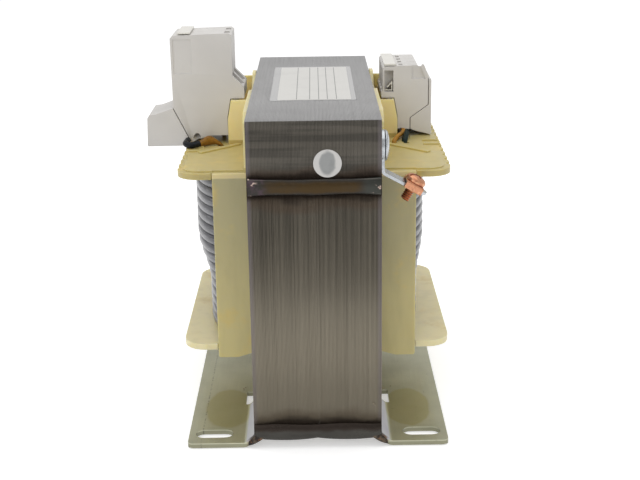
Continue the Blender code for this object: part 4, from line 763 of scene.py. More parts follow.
class Routine(Nodes):
    """A Geometry Nodes tree with named inputs, run once to make a plain mesh."""

    def __init__(self, name, inputs):
        super().__init__(bpy.data.node_groups.new(name, "GeometryNodeTree"))
        self.identifiers = {}
        for label, value in inputs.items():
            kind = SOCKETS.get(type(value)) or SOCKETS[value]
            socket = self.tree.interface.new_socket(label, in_out="INPUT", socket_type=kind)
            self.identifiers[label] = socket.identifier
            if kind in ("NodeSocketFloat", "NodeSocketInt"):
                socket.default_value = value
        self.tree.interface.new_socket(
            "Geometry", in_out="OUTPUT", socket_type="NodeSocketGeometry")
        self.inputs = self.tree.nodes.new("NodeGroupInput").outputs
        self.output = self.tree.nodes.new("NodeGroupOutput")

    def vector(self, x, y, z):
        """Three values as a vector."""
        node = self.tree.nodes.new("ShaderNodeCombineXYZ")
        for socket, value in zip(node.inputs, (x, y, z)):
            self.plug(socket, value)
        return node.outputs[0]

    def finish(self, geometry):
        """Make the instances real and set the material."""
        real = self.add("GeometryNodeRealizeInstances", Geometry=geometry).outputs[0]
        dressed = self.add("GeometryNodeSetMaterial", Geometry=real, Material=self.inputs["Finish"])
        self.plug(self.output.inputs[0], dressed.outputs[0])

    def run(self, name, **values):
        """Run the tree with its inputs set, and return a plain mesh object."""
        item = new_object(name, bpy.data.meshes.new(name))
        modifier = item.modifiers.new(self.tree.name, "NODES")
        modifier.node_group = self.tree
        for label, value in values.items():
            modifier[self.identifiers[label.replace("_", " ")]] = value
        return settled(item)


def stack_routine():
    """Repeat one sheet across the stack, each copy a little out of line."""
    routine = Routine("sheet_stack", {
        "Sheet": "object", "Count": 10, "Start": 0.0, "Pitch": 0.0005, "Play": 0.00004,
        "Seed": 1, "Finish": "material"})
    inputs = routine.inputs
    line = routine.add(
        "GeometryNodeMeshLine", Count=inputs["Count"],
        Start_Location=routine.vector(inputs["Start"], 0.0, 0.0),
        Offset=routine.vector(inputs["Pitch"], 0.0, 0.0))
    back = routine.product(inputs["Play"], -1.0)
    play = routine.add("FunctionNodeRandomValue", {"data_type": "FLOAT_VECTOR"})
    routine.plug(play.inputs["Min"], routine.vector(0.0, back, back))
    routine.plug(play.inputs["Max"], routine.vector(0.0, inputs["Play"], 0.0))
    routine.plug(play.inputs["Seed"], inputs["Seed"])
    moved = routine.add(
        "GeometryNodeSetPosition", Geometry=line.outputs[0], Offset=play.outputs["Value"])
    sheet = routine.add("GeometryNodeObjectInfo", Object=inputs["Sheet"])
    copies = routine.add(
        "GeometryNodeInstanceOnPoints", Points=moved.outputs[0],
        Instance=sheet.outputs["Geometry"])
    routine.finish(copies.outputs[0])
    return routine


def coil_routine():
    """Wind a strand round the tongue, arched at its sides and wider on its upper part."""
    routine = Routine("wound_coil", {
        "Turns": 18, "Steps": 72, "Bottom": 0.0, "Height": 0.068, "Centre X": 0.0,
        "Half Y": 0.047, "Low Left X": 0.044, "Low Right X": 0.042, "Left X": 0.050,
        "Right X": 0.046, "Corner X": WINDING_CORNER_X,
        "Bulge Start": BULGE_START, "Bulge End": BULGE_END, "Depth": 0.003, "Finish": "material"})
    inputs = routine.inputs
    strand = routine.maths("DIVIDE", inputs["Height"], inputs["Turns"])
    last = routine.product(inputs["Turns"], inputs["Steps"])
    count = routine.total(last, 1.0)
    line = routine.add("GeometryNodeMeshLine", Count=count)
    index = routine.add("GeometryNodeInputIndex").outputs[0]
    share = routine.maths("DIVIDE", index, last)
    angle = routine.product(routine.maths("DIVIDE", index, inputs["Steps"]), 2 * math.pi)
    cosine, sine = routine.maths("COSINE", angle), routine.maths("SINE", angle)
    ease = routine.add("ShaderNodeMapRange", {"interpolation_type": "SMOOTHSTEP"}, Value=share)
    routine.plug(ease.inputs["From Min"], inputs["Bulge Start"])
    routine.plug(ease.inputs["From Max"], inputs["Bulge End"])
    to_right = routine.maths("GREATER_THAN", cosine, 0.0)

    def by_side(level):
        """The reach on the side that a point lies on."""
        left, right = inputs[f"{level}Left X"], inputs[f"{level}Right X"]
        more = routine.product(to_right, routine.less(right, left))
        return routine.total(left, more)

    upper, lower = by_side(""), by_side("Low ")
    bulge = routine.product(routine.less(upper, lower), ease.outputs[0])
    reach = routine.total(lower, bulge)

    def cornered(value):
        """Draw a sine or cosine out towards a rectangle with round corners."""
        root = routine.maths("POWER", routine.size(value), WINDING_POWER)
        return routine.product(root, routine.maths("SIGN", value))

    y_share = cornered(sine)
    arch = routine.less(1.0, routine.maths("POWER", routine.size(y_share), WINDING_ARCH))
    above_corner = routine.less(reach, inputs["Corner X"])
    reach = routine.maths("MULTIPLY_ADD", above_corner, arch, inputs["Corner X"])
    x = routine.maths("MULTIPLY_ADD", cornered(cosine), reach, inputs["Centre X"])
    y = routine.product(y_share, inputs["Half Y"])
    run = routine.less(inputs["Height"], strand)
    z = routine.maths("MULTIPLY_ADD", share, run, routine.maths(
        "MULTIPLY_ADD", strand, 0.5, inputs["Bottom"]))
    path = routine.add(
        "GeometryNodeSetPosition", Geometry=line.outputs[0], Position=routine.vector(x, y, z))
    curve = routine.add("GeometryNodeMeshToCurve", Mesh=path.outputs[0])
    upright = routine.add("GeometryNodeSetCurveNormal", {"mode": "Z_UP"}, Curve=curve.outputs[0])
    ring = routine.add("GeometryNodeCurvePrimitiveCircle", Resolution=12, Radius=1.0)
    profile = routine.add(
        "GeometryNodeTransform", Geometry=ring.outputs[0], Scale=routine.vector(
            routine.product(inputs["Depth"], 0.5), routine.product(strand, 0.497), 1.0))
    tube = routine.add(
        "GeometryNodeCurveToMesh", Curve=upright.outputs[0], Profile_Curve=profile.outputs[0],
        Fill_Caps=True)
    shaded = routine.add("GeometryNodeSetShadeSmooth", Geometry=tube.outputs[0])
    routine.finish(shaded.outputs[0])
    return routine


def thread_routine():
    """A screw thread: a pointed profile swept along a helix."""
    routine = Routine("screw_thread", {
        "Turns": 10.0, "Radius": 0.0016, "Height": 0.006, "Pitch": 0.0006, "Finish": "material"})
    inputs = routine.inputs
    helix = routine.add(
        "GeometryNodeCurveSpiral", Resolution=20, Rotations=inputs["Turns"],
        Start_Radius=inputs["Radius"], End_Radius=inputs["Radius"], Height=inputs["Height"])
    upright = routine.add("GeometryNodeSetCurveNormal", {"mode": "Z_UP"}, Curve=helix.outputs[0])
    ring = routine.add("GeometryNodeCurvePrimitiveCircle", Resolution=6)
    routine.plug(ring.inputs["Radius"], routine.product(inputs["Pitch"], 0.45))
    thread = routine.add(
        "GeometryNodeCurveToMesh", Curve=upright.outputs[0], Profile_Curve=ring.outputs[0],
        Fill_Caps=True)
    routine.finish(thread.outputs[0])
    return routine


# Pieces

def sheet_outline_e(core):
    """The E lamination in Y and Z."""
    low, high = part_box("e_core_left")
    tongue, leg = core.tongue_width / 2, core.leg_width
    base = low.z + leg
    right = [(high.y, low.z), (high.y, high.z), (high.y - leg, high.z), (high.y - leg, base),
             (tongue, base), (tongue, high.z)]
    return right + [(-y, z) for y, z in reversed(right)]


def sheet_outline_i():
    """The I lamination in Y and Z."""
    low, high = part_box("i_core_left")
    return [(low.y, low.z), (high.y, low.z), (high.y, high.z), (low.y, high.z)]


class SheetStack(bpy.types.Operator):
    """Stack the E and I laminations sheet by sheet"""

    bl_idname = "transformer.sheet_stack"
    bl_label = "Lamination stack"

    def execute(self, context):
        core = context.scene.transformer_core
        finish = lamination_finish(core)
        routine = stack_routine()
        reach, radius = CORE_HIGH.y - core.hole_inset, core.hole_diameter / 2
        turned = Matrix(((0, 0, 1, 0), (1, 0, 0, 0), (0, 1, 0, 0), (0, 0, 0, 1)))
        outlines = {
            "e_core": (sheet_outline_e(core), CORE_LOW.z + core.hole_inset),
            "i_core": (sheet_outline_i(), CORE_HIGH.z - core.hole_inset)}
        for seed, (kind, (outline, hole_z)) in enumerate(outlines.items(), start=3):
            holes = [circle((side * reach, hole_z), radius, 24) for side in (-1, 1)]
            thickness = core.sheet_pitch - core.sheet_gap
            sheet = flat_shape(f"{kind}_sheet", [outline] + holes, thickness)
            sheet.data.transform(turned)
            seam = (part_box(f"{kind}_left")[1].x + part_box(f"{kind}_right")[0].x) / 2
            for side in ("left", "right"):
                node = f"{kind}_{side}"
                low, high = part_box(node)
                span = (low.x, seam) if side == "left" else (seam, high.x)
                count = round((span[1] - span[0]) / core.sheet_pitch)
                pitch = (span[1] - span[0]) / count
                stack = routine.run(
                    f"{node}_sheets", Sheet=sheet, Count=count, Start=span[0] + pitch / 2,
                    Pitch=pitch, Play=core.sheet_play, Seed=seed, Finish=finish)
                dress(stack, finish, "lamination_steel", node)
            bpy.data.objects.remove(sheet, do_unlink=True)
        return {"FINISHED"}


def joint_section(share, low, high):
    """Middle, half height and depth of the joint bead, which widens at both ends."""
    end = max(0.0, abs(2 * share - 1) - 0.70) / 0.30
    half = (high.z - low.z) / 2 * (0.93 + 0.02 * math.sin(15 * share) + 0.13 * end ** 1.6)
    middle = (low.z + high.z) / 2 + 0.00010 * math.sin(8 * share + 1)
    return middle, half, 0.00165 * (1.0 - 0.30 * end ** 4)


def base_section(share, low, high):
    """Middle, half height and depth of the base bead: two sags that meet in a cusp."""
    end = max(0.0, abs(2 * share - 1) - 0.86) / 0.14
    bottom = CORE_LOW.z - 0.0017 - 0.0009 * abs(math.sin(2 * math.pi * share)) ** 0.8
    bottom += 0.0007 * end ** 1.5
    top = high.z - 0.0006 + 0.0002 * math.sin(11 * share)
    return (top + bottom) / 2, (top - bottom) / 2, 0.00160 * (1.0 - 0.25 * end ** 3)


def weld_ring(x, face, middle, half, depth, steps):
    """Half a rounded section that stands out from an end face of the core."""
    ring = []
    for step in range(steps + 1):
        angle = math.pi * step / steps
        y = face * (CORE_HIGH.y - WELD_SINK + depth * math.sin(angle) ** 0.8)
        ring.append((x, y, middle + half * math.cos(angle)))
    return ring


def bead_mesh(name, node, face, section):
    """A weld bead along the stack, from the section at each of its stations."""
    low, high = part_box(node)
    stations, steps = 120, 16
    rings = []
    for station in range(stations + 1):
        share = station / stations
        x = low.x + (high.x - low.x) * share
        rings.append(weld_ring(x, face, *section(share, low, high), steps))
    return smooth(skin(name, rings), 60.0)


def fillet_mesh(name, side, face):
    """The fillet weld that joins a raised tongue to the core's lower edge."""
    start, run, stations = 0.0212, 0.0062, 12
    rings = []
    for station in range(stations + 1):
        share = station / stations
        x = CORE_MIDDLE_X + side * (start + run * share)
        middle = CORE_LOW.z - 0.0006 - 0.0034 * share ** 1.25
        half = 0.0011 + 0.0007 * math.sin(math.pi * share) - 0.0002 * share
        depth = 0.0013 * math.sqrt(max(0.05, 1.0 - share ** 3))
        rings.append(weld_ring(x, face, middle, half, depth, 12))
    return smooth(skin(name, rings), 60.0)


def burnt_finish():
    """Burnt steel of the fillet welds, with rust and dull grey patches."""
    finish = Finish("burnt_fillet", 0.42, 0.55)
    patches = finish.noise(0.0022, 3.0)
    colour = finish.blend(finish.span(patches, 0.4, 0.6), tone(40, 34, 30), tone(92, 80, 66))
    rust = finish.spots(0.0013, 2.0, 0.58, 0.66)
    finish.bump(patches, 0.0003, 0.6)
    return finish.coloured(finish.tint(colour, rust, 0.6, tone(146, 98, 66)))


def spatter_mesh(name, drops):
    """Small round drops of weld metal that lie on a surface."""
    work = bmesh.new()
    for x, y, z, radius in drops:
        place = Matrix.Translation((x, y, z))
        bmesh.ops.create_icosphere(work, subdivisions=2, radius=radius, matrix=place)
    return smooth(written(work, bpy.data.meshes.new(name)), 60.0)


class WeldBeads(bpy.types.Operator):
    """Lay the four weld beads that hold the laminations, the fillets and their spatter"""

    bl_idname = "transformer.weld_beads"
    bl_label = "Weld beads"

    def execute(self, context):
        core = context.scene.transformer_core
        finish = weld_finish(core)
        burnt = burnt_finish()
        for place, face in (("front", -1), ("rear", 1)):
            for kind, section in (("joint", joint_section), ("base", base_section)):
                node = f"weld_{place}_{kind}"
                bead = new_object(f"{node}_bead", bead_mesh(node, node, face, section))
                dress(bead, finish, "weld_metal", node)
            for hand, side in (("left", -1), ("right", 1)):
                name = f"weld_{place}_{hand}_fillet"
                dress(new_object(name, fillet_mesh(name, side, face)), burnt, "weld_metal")
        front = CORE_LOW.y
        drops = [
            (CORE_MIDDLE_X + 0.0218, front, CORE_LOW.z + 0.0125, 0.00034),
            (CORE_MIDDLE_X + 0.0224, front, CORE_LOW.z + 0.0118, 0.00022),
            (CORE_MIDDLE_X + 0.0220, front, CORE_LOW.z + 0.0228, 0.00020),
            (CORE_MIDDLE_X - 0.0320, -0.0236, FOOT_TOP_Z, 0.00042),
            (CORE_MIDDLE_X - 0.0312, -0.0222, FOOT_TOP_Z, 0.00030),
            (CORE_MIDDLE_X + 0.0316, -0.0228, FOOT_TOP_Z, 0.00030)]
        spatter = new_object("weld_spatter", spatter_mesh("weld_spatter", drops))
        metal = plated_finish("spatter_metal", tone(170, 160, 140), roughness=0.30, grain_size=0.0004)
        dress(spatter, metal, "weld_metal")
        return {"FINISHED"}


class Bobbin(bpy.types.Operator):
    """Give the moulded bobbin its edge radii and its nylon"""

    bl_idname = "transformer.bobbin"
    bl_label = "Bobbin"

    def execute(self, context):
        moulding = context.scene.transformer_moulding
        # The darker tone above is painted shade.
        finish = nylon_finish(
            "natural_nylon", moulding.bobbin_upper_shade, moulding.bobbin, JOINT_Z - 0.070, JOINT_Z - 0.015,
            # The pale band on the guide walls is painted light.
            (FLANGE_TOP_Z + 0.0018, FLANGE_TOP_Z + 0.0300, tone(246, 230, 174), 0.80))
        moulded("bobbin", "moulded_bobbin", moulding.edge * 1.5, finish, "bobbin_nylon")
        return {"FINISHED"}


class InsulatingWalls(bpy.types.Operator):
    """Make the two insulating walls"""

    bl_idname = "transformer.insulating_walls"
    bl_label = "Insulating walls"

    def execute(self, context):
        moulding = context.scene.transformer_moulding
        finish = nylon_finish(
            "wall_nylon", moulding.wall, moulding.wall_deep, JOINT_Z - 0.080, JOINT_Z,
            (FLANGE_TOP_Z - 0.0020, FLANGE_TOP_Z + 0.0020, tone(232, 212, 158), 0.85))
        for place in ("front", "rear"):
            node = f"{place}_insulating_wall"
            moulded(node, f"{node}_moulding", moulding.edge, finish, "insulating_board")
        return {"FINISHED"}


def backing_mesh(name, inset, reaches):
    """The closed body of wire behind the visible turns."""
    half_y = WINDING_HIGH.y - inset
    corner_x = WINDING_CORNER_X - inset
    left, right, low_left, low_right = [reach - inset for reach in reaches]
    rows, steps = 24, 96
    rings = []
    for row in range(rows + 1):
        share = row / rows
        blend = share_between(share, BULGE_START, BULGE_END)
        eased = blend * blend * (3 - 2 * blend)
        z = WINDING_LOW.z + 0.0002 + (WINDING_HIGH.z - WINDING_LOW.z - 0.0004) * share
        ring = []
        for cosine, sine in around(steps):
            upper, lower = (right, low_right) if cosine > 0 else (left, low_left)
            reach = lower + (upper - lower) * eased
            y_share = drawn_out(sine, WINDING_POWER)
            reach = corner_x + (reach - corner_x) * (1 - abs(y_share) ** WINDING_ARCH)
            x = CORE_MIDDLE_X + drawn_out(cosine, WINDING_POWER) * reach
            ring.append((x, y_share * half_y, z))
        rings.append(ring)
    return smooth(skin(name, rings), 40.0)


class Windings(bpy.types.Operator):
    """Wind the visible turns and the layers under them"""

    bl_idname = "transformer.windings"
    bl_label = "Windings"

    def execute(self, context):
        winding = context.scene.transformer_winding
        finish = enamel_finish("wrapped_turns", winding.enamel, 0.34, 0.0009)
        depth = winding.strand_depth
        left = CORE_MIDDLE_X - WINDING_LOW.x + 0.0002
        right = WINDING_HIGH.x - CORE_MIDDLE_X
        reaches = (left, right, left - winding.low_left, right - winding.low_right)
        coil = coil_routine().run(
            "outer_turns", Turns=winding.turns, Bottom=WINDING_LOW.z,
            Height=WINDING_HIGH.z - WINDING_LOW.z, Centre_X=CORE_MIDDLE_X,
            Half_Y=WINDING_HIGH.y - depth / 2, Left_X=reaches[0] - depth / 2,
            Right_X=reaches[1] - depth / 2, Low_Left_X=reaches[2] - depth / 2,
            Low_Right_X=reaches[3] - depth / 2, Corner_X=WINDING_CORNER_X - depth / 2,
            Depth=depth, Finish=finish)
        dress(coil, finish, "winding_enamel", "secondary_winding")
        dark = enamel_finish("inner_layers", tone(44, 38, 42), 0.45, 0.0012)
        backing = new_object("inner_layers", backing_mesh("inner_layers", depth * 0.62, reaches))
        dress(backing, dark, "winding_enamel", "primary_winding", "interwinding_insulation")
        return {"FINISHED"}


class Feet(bpy.types.Operator):
    """Make the two bent feet"""

    bl_idname = "transformer.feet"
    bl_label = "Feet"

    def execute(self, context):
        finish = zinc_finish(context.scene.transformer_metal)
        for side in ("left", "right"):
            moulded(f"mounting_bracket_{side}", f"foot_{side}", 0.00028, finish, "zinc_sheet")
        return {"FINISHED"}


def turned_mesh(name, profile, steps=64):
    """Turn a profile of radius and height about the Z axis."""
    return skin(name, [
        [(radius * u, radius * v, height) for u, v in around(steps)] for radius, height in profile])


def moved_piece(node, name, radius, change, segments=2):
    """A softened copy of a CAD node with a change made to each of its points."""
    item = softened(node, name, radius, segments)
    for vert in item.data.vertices:
        vert.co = change(vert.co)
    item.data.update()
    return item


def screw_head_profile(base, radius, height):
    """Radius and height down a domed head, its shank and its tip."""
    profile = [(0.0002, base + height)]
    for step in range(1, 11):
        turn = math.radians(90 * step / 10)
        profile.append((radius * math.sin(turn), base + height * (0.30 + 0.70 * math.cos(turn))))
    profile += [(radius, base + 0.0002), (radius - 0.0002, base), (0.00150, base)]
    profile += [(SHANK_RADIUS, base - 0.0003), (SHANK_RADIUS, -0.0056)]
    return profile + [(0.0012, -0.0061), (0.0002, -0.0062)]


def recess_outline():
    """A cross recess with one long slot through the head."""
    slot_reach, cross_reach, half_width, inner, turn = 0.0042, 0.0022, 0.00042, 0.00060, 28
    points = []
    for quarter in range(4):
        angle = math.pi / 2 * quarter + math.radians(turn)
        reach = slot_reach if quarter % 2 == 0 else cross_reach
        for u, v in ((reach, -half_width), (reach, half_width), (inner, inner)):
            points.append((
                u * math.cos(angle) - v * math.sin(angle), u * math.sin(angle) + v * math.cos(angle)))
    return points


class EarthTerminal(bpy.types.Operator):
    """Make the earth tab, its rivet, the saddle washer and the threaded screw"""

    bl_idname = "transformer.earth_terminal"
    bl_label = "Earth terminal"

    def execute(self, context):
        metal = context.scene.transformer_metal
        bright = plated_finish("bright_zinc", metal.bright, roughness=0.26, grain_size=0.0006)
        copper = copper_finish(metal.copper)
        washer_low, washer_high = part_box("earth_clamp_washer")
        bend_z = washer_high.z + 0.0030

        def tab_change(point):
            return point + SCREW_SHIFT * share_between(point.z, bend_z, bend_z - 0.004)

        tab = moved_piece("earth_tab", "earth_tab_strip", 0.00016, tab_change)
        dress(tab, bright, "bright_zinc", "earth_tab")
        moulded("earth_rivet", "earth_rivet_dome", 0.00012, bright, "bright_zinc", degrees=50.0)
        angle = math.radians(SCREW_LEAN)
        centre = (washer_low + washer_high) / 2
        down = Vector((-math.sin(angle), 0.0, -math.cos(angle)))
        seat = Matrix.Translation(centre - down * 0.0001 + SCREW_SHIFT)
        seat = seat @ Matrix.Rotation(angle, 4, "Y")
        into = seat.inverted()
        washer = NODES["earth_clamp_washer"].data
        top = max((into @ (vert.co + SCREW_SHIFT)).z for vert in washer.vertices)

        def saddle_change(point):
            local = into @ (point + SCREW_SHIFT)
            local.z = top + (local.z - top) * 0.84
            return seat @ local

        saddle = moved_piece("earth_clamp_washer", "saddle_washer", 0.00022, saddle_change, 3)
        dress(saddle, copper, "copper_plate", "earth_clamp_washer")
        base = top + 0.00002
        head = new_object("earth_screw_head", turned_mesh(
            "earth_screw_head", screw_head_profile(base, radius=0.0040, height=0.0027)))
        recess = flat_shape("recess", [recess_outline()], thickness=0.0030)
        recess.data.transform(Matrix.Translation((0.0, 0.0, base + 0.0029)))
        cut = head.modifiers.new("recess", "BOOLEAN")
        cut.object = recess
        cut.solver = "EXACT"
        head = settled(head)
        bpy.data.objects.remove(recess, do_unlink=True)
        smooth(head.data, 35.0)
        head.data.transform(seat)
        dress(head, copper, "copper_plate", "earth_screw")
        thread_copper = thread_finish(metal.thread, -down, THREAD_PITCH)
        thread = thread_routine().run(
            "earth_screw_thread", Turns=THREAD_LENGTH / THREAD_PITCH, Radius=SHANK_RADIUS,
            Height=THREAD_LENGTH, Pitch=THREAD_PITCH, Finish=thread_copper)
        thread.data.transform(seat @ Matrix.Translation((0.0, 0.0, -0.0060)))
        smooth(thread.data, 20.0)
        dress(thread, thread_copper, "copper_plate")
        return {"FINISHED"}


class TerminalBlocks(bpy.types.Operator):
    """Make both terminal blocks with their marker strips and clamps"""

    bl_idname = "transformer.terminal_blocks"
    bl_label = "Terminal blocks"

    def execute(self, context):
        moulding = context.scene.transformer_moulding
        grey = terminal_finish(moulding.terminal)
        card = film_finish("blank_marker", moulding.marker, 0.42)
        spring = plated_finish(
            "spring_steel", tone(206, 202, 190), roughness=0.24, grain_size=0.0004)
        for block, poles in (("secondary", 2), ("primary", 4)):
            housings = [f"{block}_terminal_pole_{pole + 1}" for pole in range(poles)]
            housings += [f"{block}_terminal_end_plate", f"{block}_terminal_cover"]
            for node in housings:
                moulded(node, f"{node}_moulding", moulding.edge * 0.8, grey, "terminal_nylon")
            moulded(f"{block}_marker_strip", f"{block}_marker_card", 0.00015, card, "marker_card")
            for pole in range(poles):
                node = f"{block}_terminal_clamp_{pole + 1}"
                moulded(node, f"{node}_spring", 0.00008, spring, "spring_steel")
        return {"FINISHED"}


def lead_mesh(name, stations, corner):
    """A lead through its stations, each a point in millimetres from the core and two half sizes."""
    count, steps, between = len(stations), 20, 6
    path = []
    for spot in range(count - 1):
        near = [stations[min(max(spot + shift, 0), count - 1)] for shift in (-1, 0, 1, 2)]
        for step in range(between + (spot == count - 2)):
            t = step / between
            path.append([0.5 * (
                2 * b + (c - a) * t + (2 * a - 5 * b + 4 * c - d) * t * t
                + (3 * b - a - 3 * c + d) * t ** 3) for a, b, c, d in zip(*near)])
    origin = Vector((CORE_MIDDLE_X, 0.0, CORE_LOW.z))
    centres = [origin + Vector(row[:3]) / 1000 for row in path]
    rings, previous = [], Vector((0.0, 1.0, 0.0))
    for spot, (centre, row) in enumerate(zip(centres, path)):
        ahead = centres[min(spot + 1, len(centres) - 1)] - centres[max(spot - 1, 0)]
        ahead.normalize()
        side = (previous - ahead * previous.dot(ahead)).normalized()
        upward = ahead.cross(side)
        previous = side
        ring = []
        for cosine, sine in around(steps):
            across, rise = drawn_out(cosine, corner), drawn_out(sine, corner)
            ring.append(centre + (side * across * row[3] + upward * rise * row[4]) / 1000)
        rings.append(ring)
    return smooth(skin(name, rings), 40.0)


LEAD_PATHS = {
    "secondary_lead_1": (
        1.25, (-39.3, 1.0, 97.4, 0.8, 0.8), (-39.5, 1.1, 99.0, 0.8, 0.8),
        (-41.4, 1.0, 100.4, 1.0, 1.0), (-44.6, 0.4, 101.3, 1.3, 2.1),
        (-47.0, -1.8, 100.9, 1.2, 1.6), (-48.9, -3.8, 100.6, 1.1, 1.2)),
    "secondary_sleeve": (
        1.0, (-48.3, -3.4, 100.8, 1.35, 1.35), (-51.0, -4.7, 100.6, 1.4, 1.35),
        (-53.3, -4.4, 100.6, 1.4, 1.3), (-54.3, -1.6, 100.6, 1.35, 1.3),
        (-54.2, 2.0, 100.6, 1.3, 1.25), (-54.0, 6.4, 100.6, 1.25, 1.2)),
    "primary_lead_1": (
        1.0, (34.4, 1.2, 97.4, 0.9, 0.9), (34.5, 2.0, 99.3, 0.95, 0.95),
        (35.8, 5.0, 100.5, 0.95, 0.95), (37.8, 9.5, 100.9, 0.95, 0.95),
        (39.2, 13.6, 101.3, 0.95, 0.95), (38.8, 17.8, 103.4, 0.95, 0.95)),
    "primary_sleeve": (
        1.0, (39.0, 2.4, 97.2, 1.25, 1.25), (39.1, 3.6, 99.6, 1.25, 1.25),
        (39.9, 8.0, 100.6, 1.3, 1.25), (40.6, 14.0, 100.8, 1.3, 1.25),
        (40.0, 20.0, 101.2, 1.25, 1.2), (38.6, 25.0, 103.4, 1.2, 1.2))}


class Leads(bpy.types.Operator):
    """Bend the leads and their sleeves, and round off the upright ones"""

    bl_idname = "transformer.leads"
    bl_label = "Leads"

    def execute(self, context):
        winding = context.scene.transformer_winding
        amber = wire_finish("amber_enamel", winding.amber, 0.30)
        pale = wire_finish("pale_amber_enamel", tone(180, 130, 48), 0.32)
        sleeve = wire_finish("black_sleeve", winding.sleeve, 0.50)
        teal = wire_finish("teal_sleeve", tone(8, 36, 34), 0.55)
        bent = {
            "secondary_lead_1": (amber, "wire_enamel"), "primary_lead_1": (pale, "wire_enamel"),
            "secondary_sleeve": (sleeve, "black_sleeve"), "primary_sleeve": (teal, "black_sleeve")}
        for node, (finish, slot_name) in bent.items():
            corner, *stations = LEAD_PATHS[node]
            item = new_object(f"{node}_round", lead_mesh(node, stations, corner))
            dress(item, finish, slot_name, node)
        for node in ("secondary_lead_2", "primary_lead_3", "primary_lead_4"):
            mesh = written(merged_copy(node), bpy.data.meshes.new(node))
            item = new_object(f"{node}_round", mesh)
            rounding = item.modifiers.new("round", "SUBSURF")
            rounding.levels = rounding.render_levels = 2
            item = settled(item)
            item.data.shade_smooth()
            dress(item, amber, "wire_enamel", node)
        return {"FINISHED"}


class Labels(bpy.types.Operator):
    """Make the bare rating label and the bare round sticker"""

    bl_idname = "transformer.labels"
    bl_label = "Labels"

    def execute(self, context):
        low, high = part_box("rating_label")
        corners = (low.x, low.y), (high.x, high.y)
        film_rim = rounded_rectangle(*corners, radius=0.0012)
        film = flat_shape("label_film", [film_rim], thickness=0.00012)
        film.data.transform(Matrix.Translation((0.0, 0.0, CORE_HIGH.z + FILM_RISE)))
        clear = film_finish("clear_film", tone(176, 175, 174), 0.24)
        dress(film, clear, "label_film", "rating_label")
        paper_low = (low.x + 0.0030, low.y + 0.0010)
        paper_high = (high.x - 0.0020, high.y - 0.0016)
        paper_rim = rounded_rectangle(paper_low, paper_high, radius=0.0006)
        paper = flat_shape("label_paper", [paper_rim], thickness=0.00006)
        paper.data.transform(Matrix.Translation((0.0, 0.0, CORE_HIGH.z + PAPER_RISE)))
        dress(paper, film_finish("white_paper", tone(210, 208, 203), 0.38), "label_film")
        rule_low, rule_high = paper_low[1] + 0.001, paper_high[1] - 0.001
        loops = []
        for offset in (-0.0065, -0.0013, 0.0023, 0.0057, 0.0093):
            x = CORE_MIDDLE_X + offset
            loops.append([
                (x - RULE_HALF_WIDTH, rule_low), (x + RULE_HALF_WIDTH, rule_low),
                (x + RULE_HALF_WIDTH, rule_high), (x - RULE_HALF_WIDTH, rule_high)])
        rules = flat_shape("label_rules", loops, thickness=0.00003)
        rules.data.transform(Matrix.Translation((0.0, 0.0, CORE_HIGH.z + RULES_RISE)))
        dress(rules, film_finish("grey_rules", tone(120, 120, 118), 0.5), "label_film")
        low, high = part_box("inspection_sticker")
        centre = (low + high) / 2
        rim = circle((centre.x, centre.z), (high.x - low.x) / 2, 72)
        disc = flat_shape("sticker_disc", [rim], thickness=0.00014, bevel=0.00003)
        disc.data.transform(Matrix.Rotation(math.radians(90), 4, "X"))
        disc.data.transform(Matrix.Translation((0.0, CORE_LOW.y - 0.0001, 0.0)))
        dress(disc, foil_finish(), "silver_foil", "inspection_sticker")
        return {"FINISHED"}


def area_light(name, place, target, size, power):
    """A soft rectangular light that points at a target."""
    lamp = bpy.data.lights.new(name, "AREA")
    lamp.shape = "RECTANGLE"
    lamp.size, lamp.size_y = size
    lamp.energy = power
    item = new_object(name, lamp)
    item.location = place
    direction = Vector(target) - Vector(place)
    item.rotation_euler = direction.to_track_quat("-Z", "Y").to_euler()


def floor_material(stage):
    """A pale floor that shows white round the object and keeps its shadow."""
    material = bpy.data.materials.new("pale_floor")
    material.use_nodes = True
    nodes = Nodes(material.node_tree)
    nodes.tree.nodes.clear()
    output = nodes.add("ShaderNodeOutputMaterial")
    matt = nodes.add("ShaderNodeBsdfDiffuse", Color=stage.floor)
    ray = nodes.add("ShaderNodeLightPath").outputs
    seen = nodes.maths("MAXIMUM", ray["Is Camera Ray"], ray["Is Glossy Ray"])
    glow = nodes.add("ShaderNodeEmission", Strength=nodes.product(seen, 0.45))
    both = nodes.add("ShaderNodeAddShader")
    for socket, source in zip(both.inputs, (matt, glow)):
        nodes.plug(socket, source.outputs[0])
    nodes.plug(output.inputs["Surface"], both.outputs[0])
    return material


def light_world(strength):
    """Even pale light from all round, white where it is seen directly."""
    world = bpy.data.worlds.new("studio")
    bpy.context.scene.world = world
    world.use_nodes = True
    nodes = Nodes(world.node_tree)
    background = nodes.tree.nodes["Background"]
    background.inputs["Color"].default_value = (1.0, 1.0, 1.0, 1.0)
    ray = nodes.add("ShaderNodeLightPath").outputs
    seen = nodes.maths("MAXIMUM", ray["Is Camera Ray"], ray["Is Transmission Ray"])
    blend = nodes.add("ShaderNodeMapRange", Value=seen, To_Min=strength, To_Max=1.0)
    nodes.plug(background.inputs["Strength"], blend.outputs[0])


# The camera in the core's own frame, and its turns in degrees
CAMERA_PLACE = Vector((0.000627, -0.512906, 0.215415))
CAMERA_TURN = -0.1624
CAMERA_TILT = 90.0 - 17.2426
CAMERA_ROLL = -0.8267

# The floor's reach and height
FLOOR_REACH = 3.0
FLOOR_Z = -0.0004


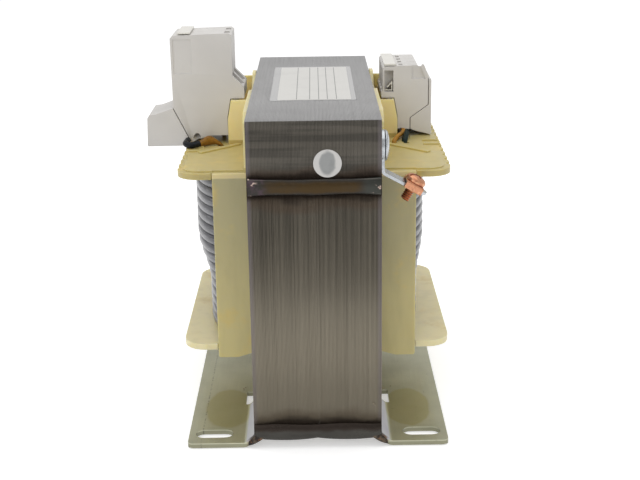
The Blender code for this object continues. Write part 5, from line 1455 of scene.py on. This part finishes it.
class Stage(bpy.types.Operator):
    """Set up the floor, the lights and the camera"""

    bl_idname = "transformer.stage"
    bl_label = "Stage"

    def execute(self, context):
        stage = context.scene.transformer_stage
        corners = ((-1, -1), (1, -1), (1, 1), (-1, 1))
        rim = [(x * FLOOR_REACH, y * FLOOR_REACH, FLOOR_Z) for x, y in corners]
        mesh = bpy.data.meshes.new("floor")
        mesh.from_pydata(rim, [], [(0, 1, 2, 3)])
        floor = new_object("floor", mesh)
        mesh.materials.append(floor_material(stage))
        light_world(stage.world)
        middle = (CORE_MIDDLE_X, 0.0, 0.07)
        area_light(
            "top_light", place=(0.0, 0.05, 0.75), target=middle, size=(1.0, 1.0),
            power=stage.top_light)
        area_light(
            "front_light", place=(-0.35, -0.85, 0.45), target=middle, size=(0.6, 0.6),
            power=stage.front_light)
        camera = bpy.data.cameras.new("camera")
        camera.lens = stage.lens
        camera.sensor_width = 36.0
        item = new_object("camera", camera)
        turned = [
            Matrix.Rotation(math.radians(angle), 4, axis)
            for angle, axis in ((CAMERA_TURN, "Z"), (CAMERA_TILT, "X"), (CAMERA_ROLL, "Z"))]
        place = Vector((CORE_MIDDLE_X, 0.0, CORE_LOW.z)) + CAMERA_PLACE
        item.matrix_world = Matrix.Translation(place) @ turned[0] @ turned[1] @ turned[2]
        context.scene.camera = item
        context.scene.view_settings.view_transform = "Standard"
        return {"FINISHED"}


class TransformerPanel(bpy.types.Panel):
    """Lists the steps that dress the transformer"""

    bl_idname = "VIEW3D_PT_transformer"
    bl_label = "Mains transformer"
    bl_space_type = "VIEW_3D"
    bl_region_type = "UI"
    bl_category = "Transformer"

    def draw(self, context):
        for operator in STEPS:
            self.layout.operator(operator.bl_idname)
        for name, settings in SETTINGS.items():
            box = self.layout.box()
            box.label(text=settings.__doc__)
            group = getattr(context.scene, name)
            for key in settings.__annotations__:
                box.prop(group, key)


SETTINGS = {
    "transformer_core": CoreSettings,
    "transformer_moulding": MouldingSettings,
    "transformer_winding": WindingSettings,
    "transformer_metal": MetalSettings,
    "transformer_stage": StageSettings,
}
STEPS = (
    Stage, SheetStack, WeldBeads, Bobbin, InsulatingWalls, Windings, Feet, EarthTerminal,
    TerminalBlocks, Leads, Labels)


def register():
    """Register the settings, the steps and the panel."""
    for name, settings in SETTINGS.items():
        bpy.utils.register_class(settings)
        setattr(bpy.types.Scene, name, bpy.props.PointerProperty(type=settings))
    for operator in STEPS:
        bpy.utils.register_class(operator)
    bpy.utils.register_class(TransformerPanel)


def unregister():
    """Take everything out again."""
    bpy.utils.unregister_class(TransformerPanel)
    for operator in reversed(STEPS):
        bpy.utils.unregister_class(operator)
    for name, settings in SETTINGS.items():
        delattr(bpy.types.Scene, name)
        bpy.utils.unregister_class(settings)


def main():
    """Run every step."""
    register()
    for operator in STEPS:
        space, name = operator.bl_idname.split(".")
        getattr(getattr(bpy.ops, space), name)()


if __name__ == "__main__":
    main()
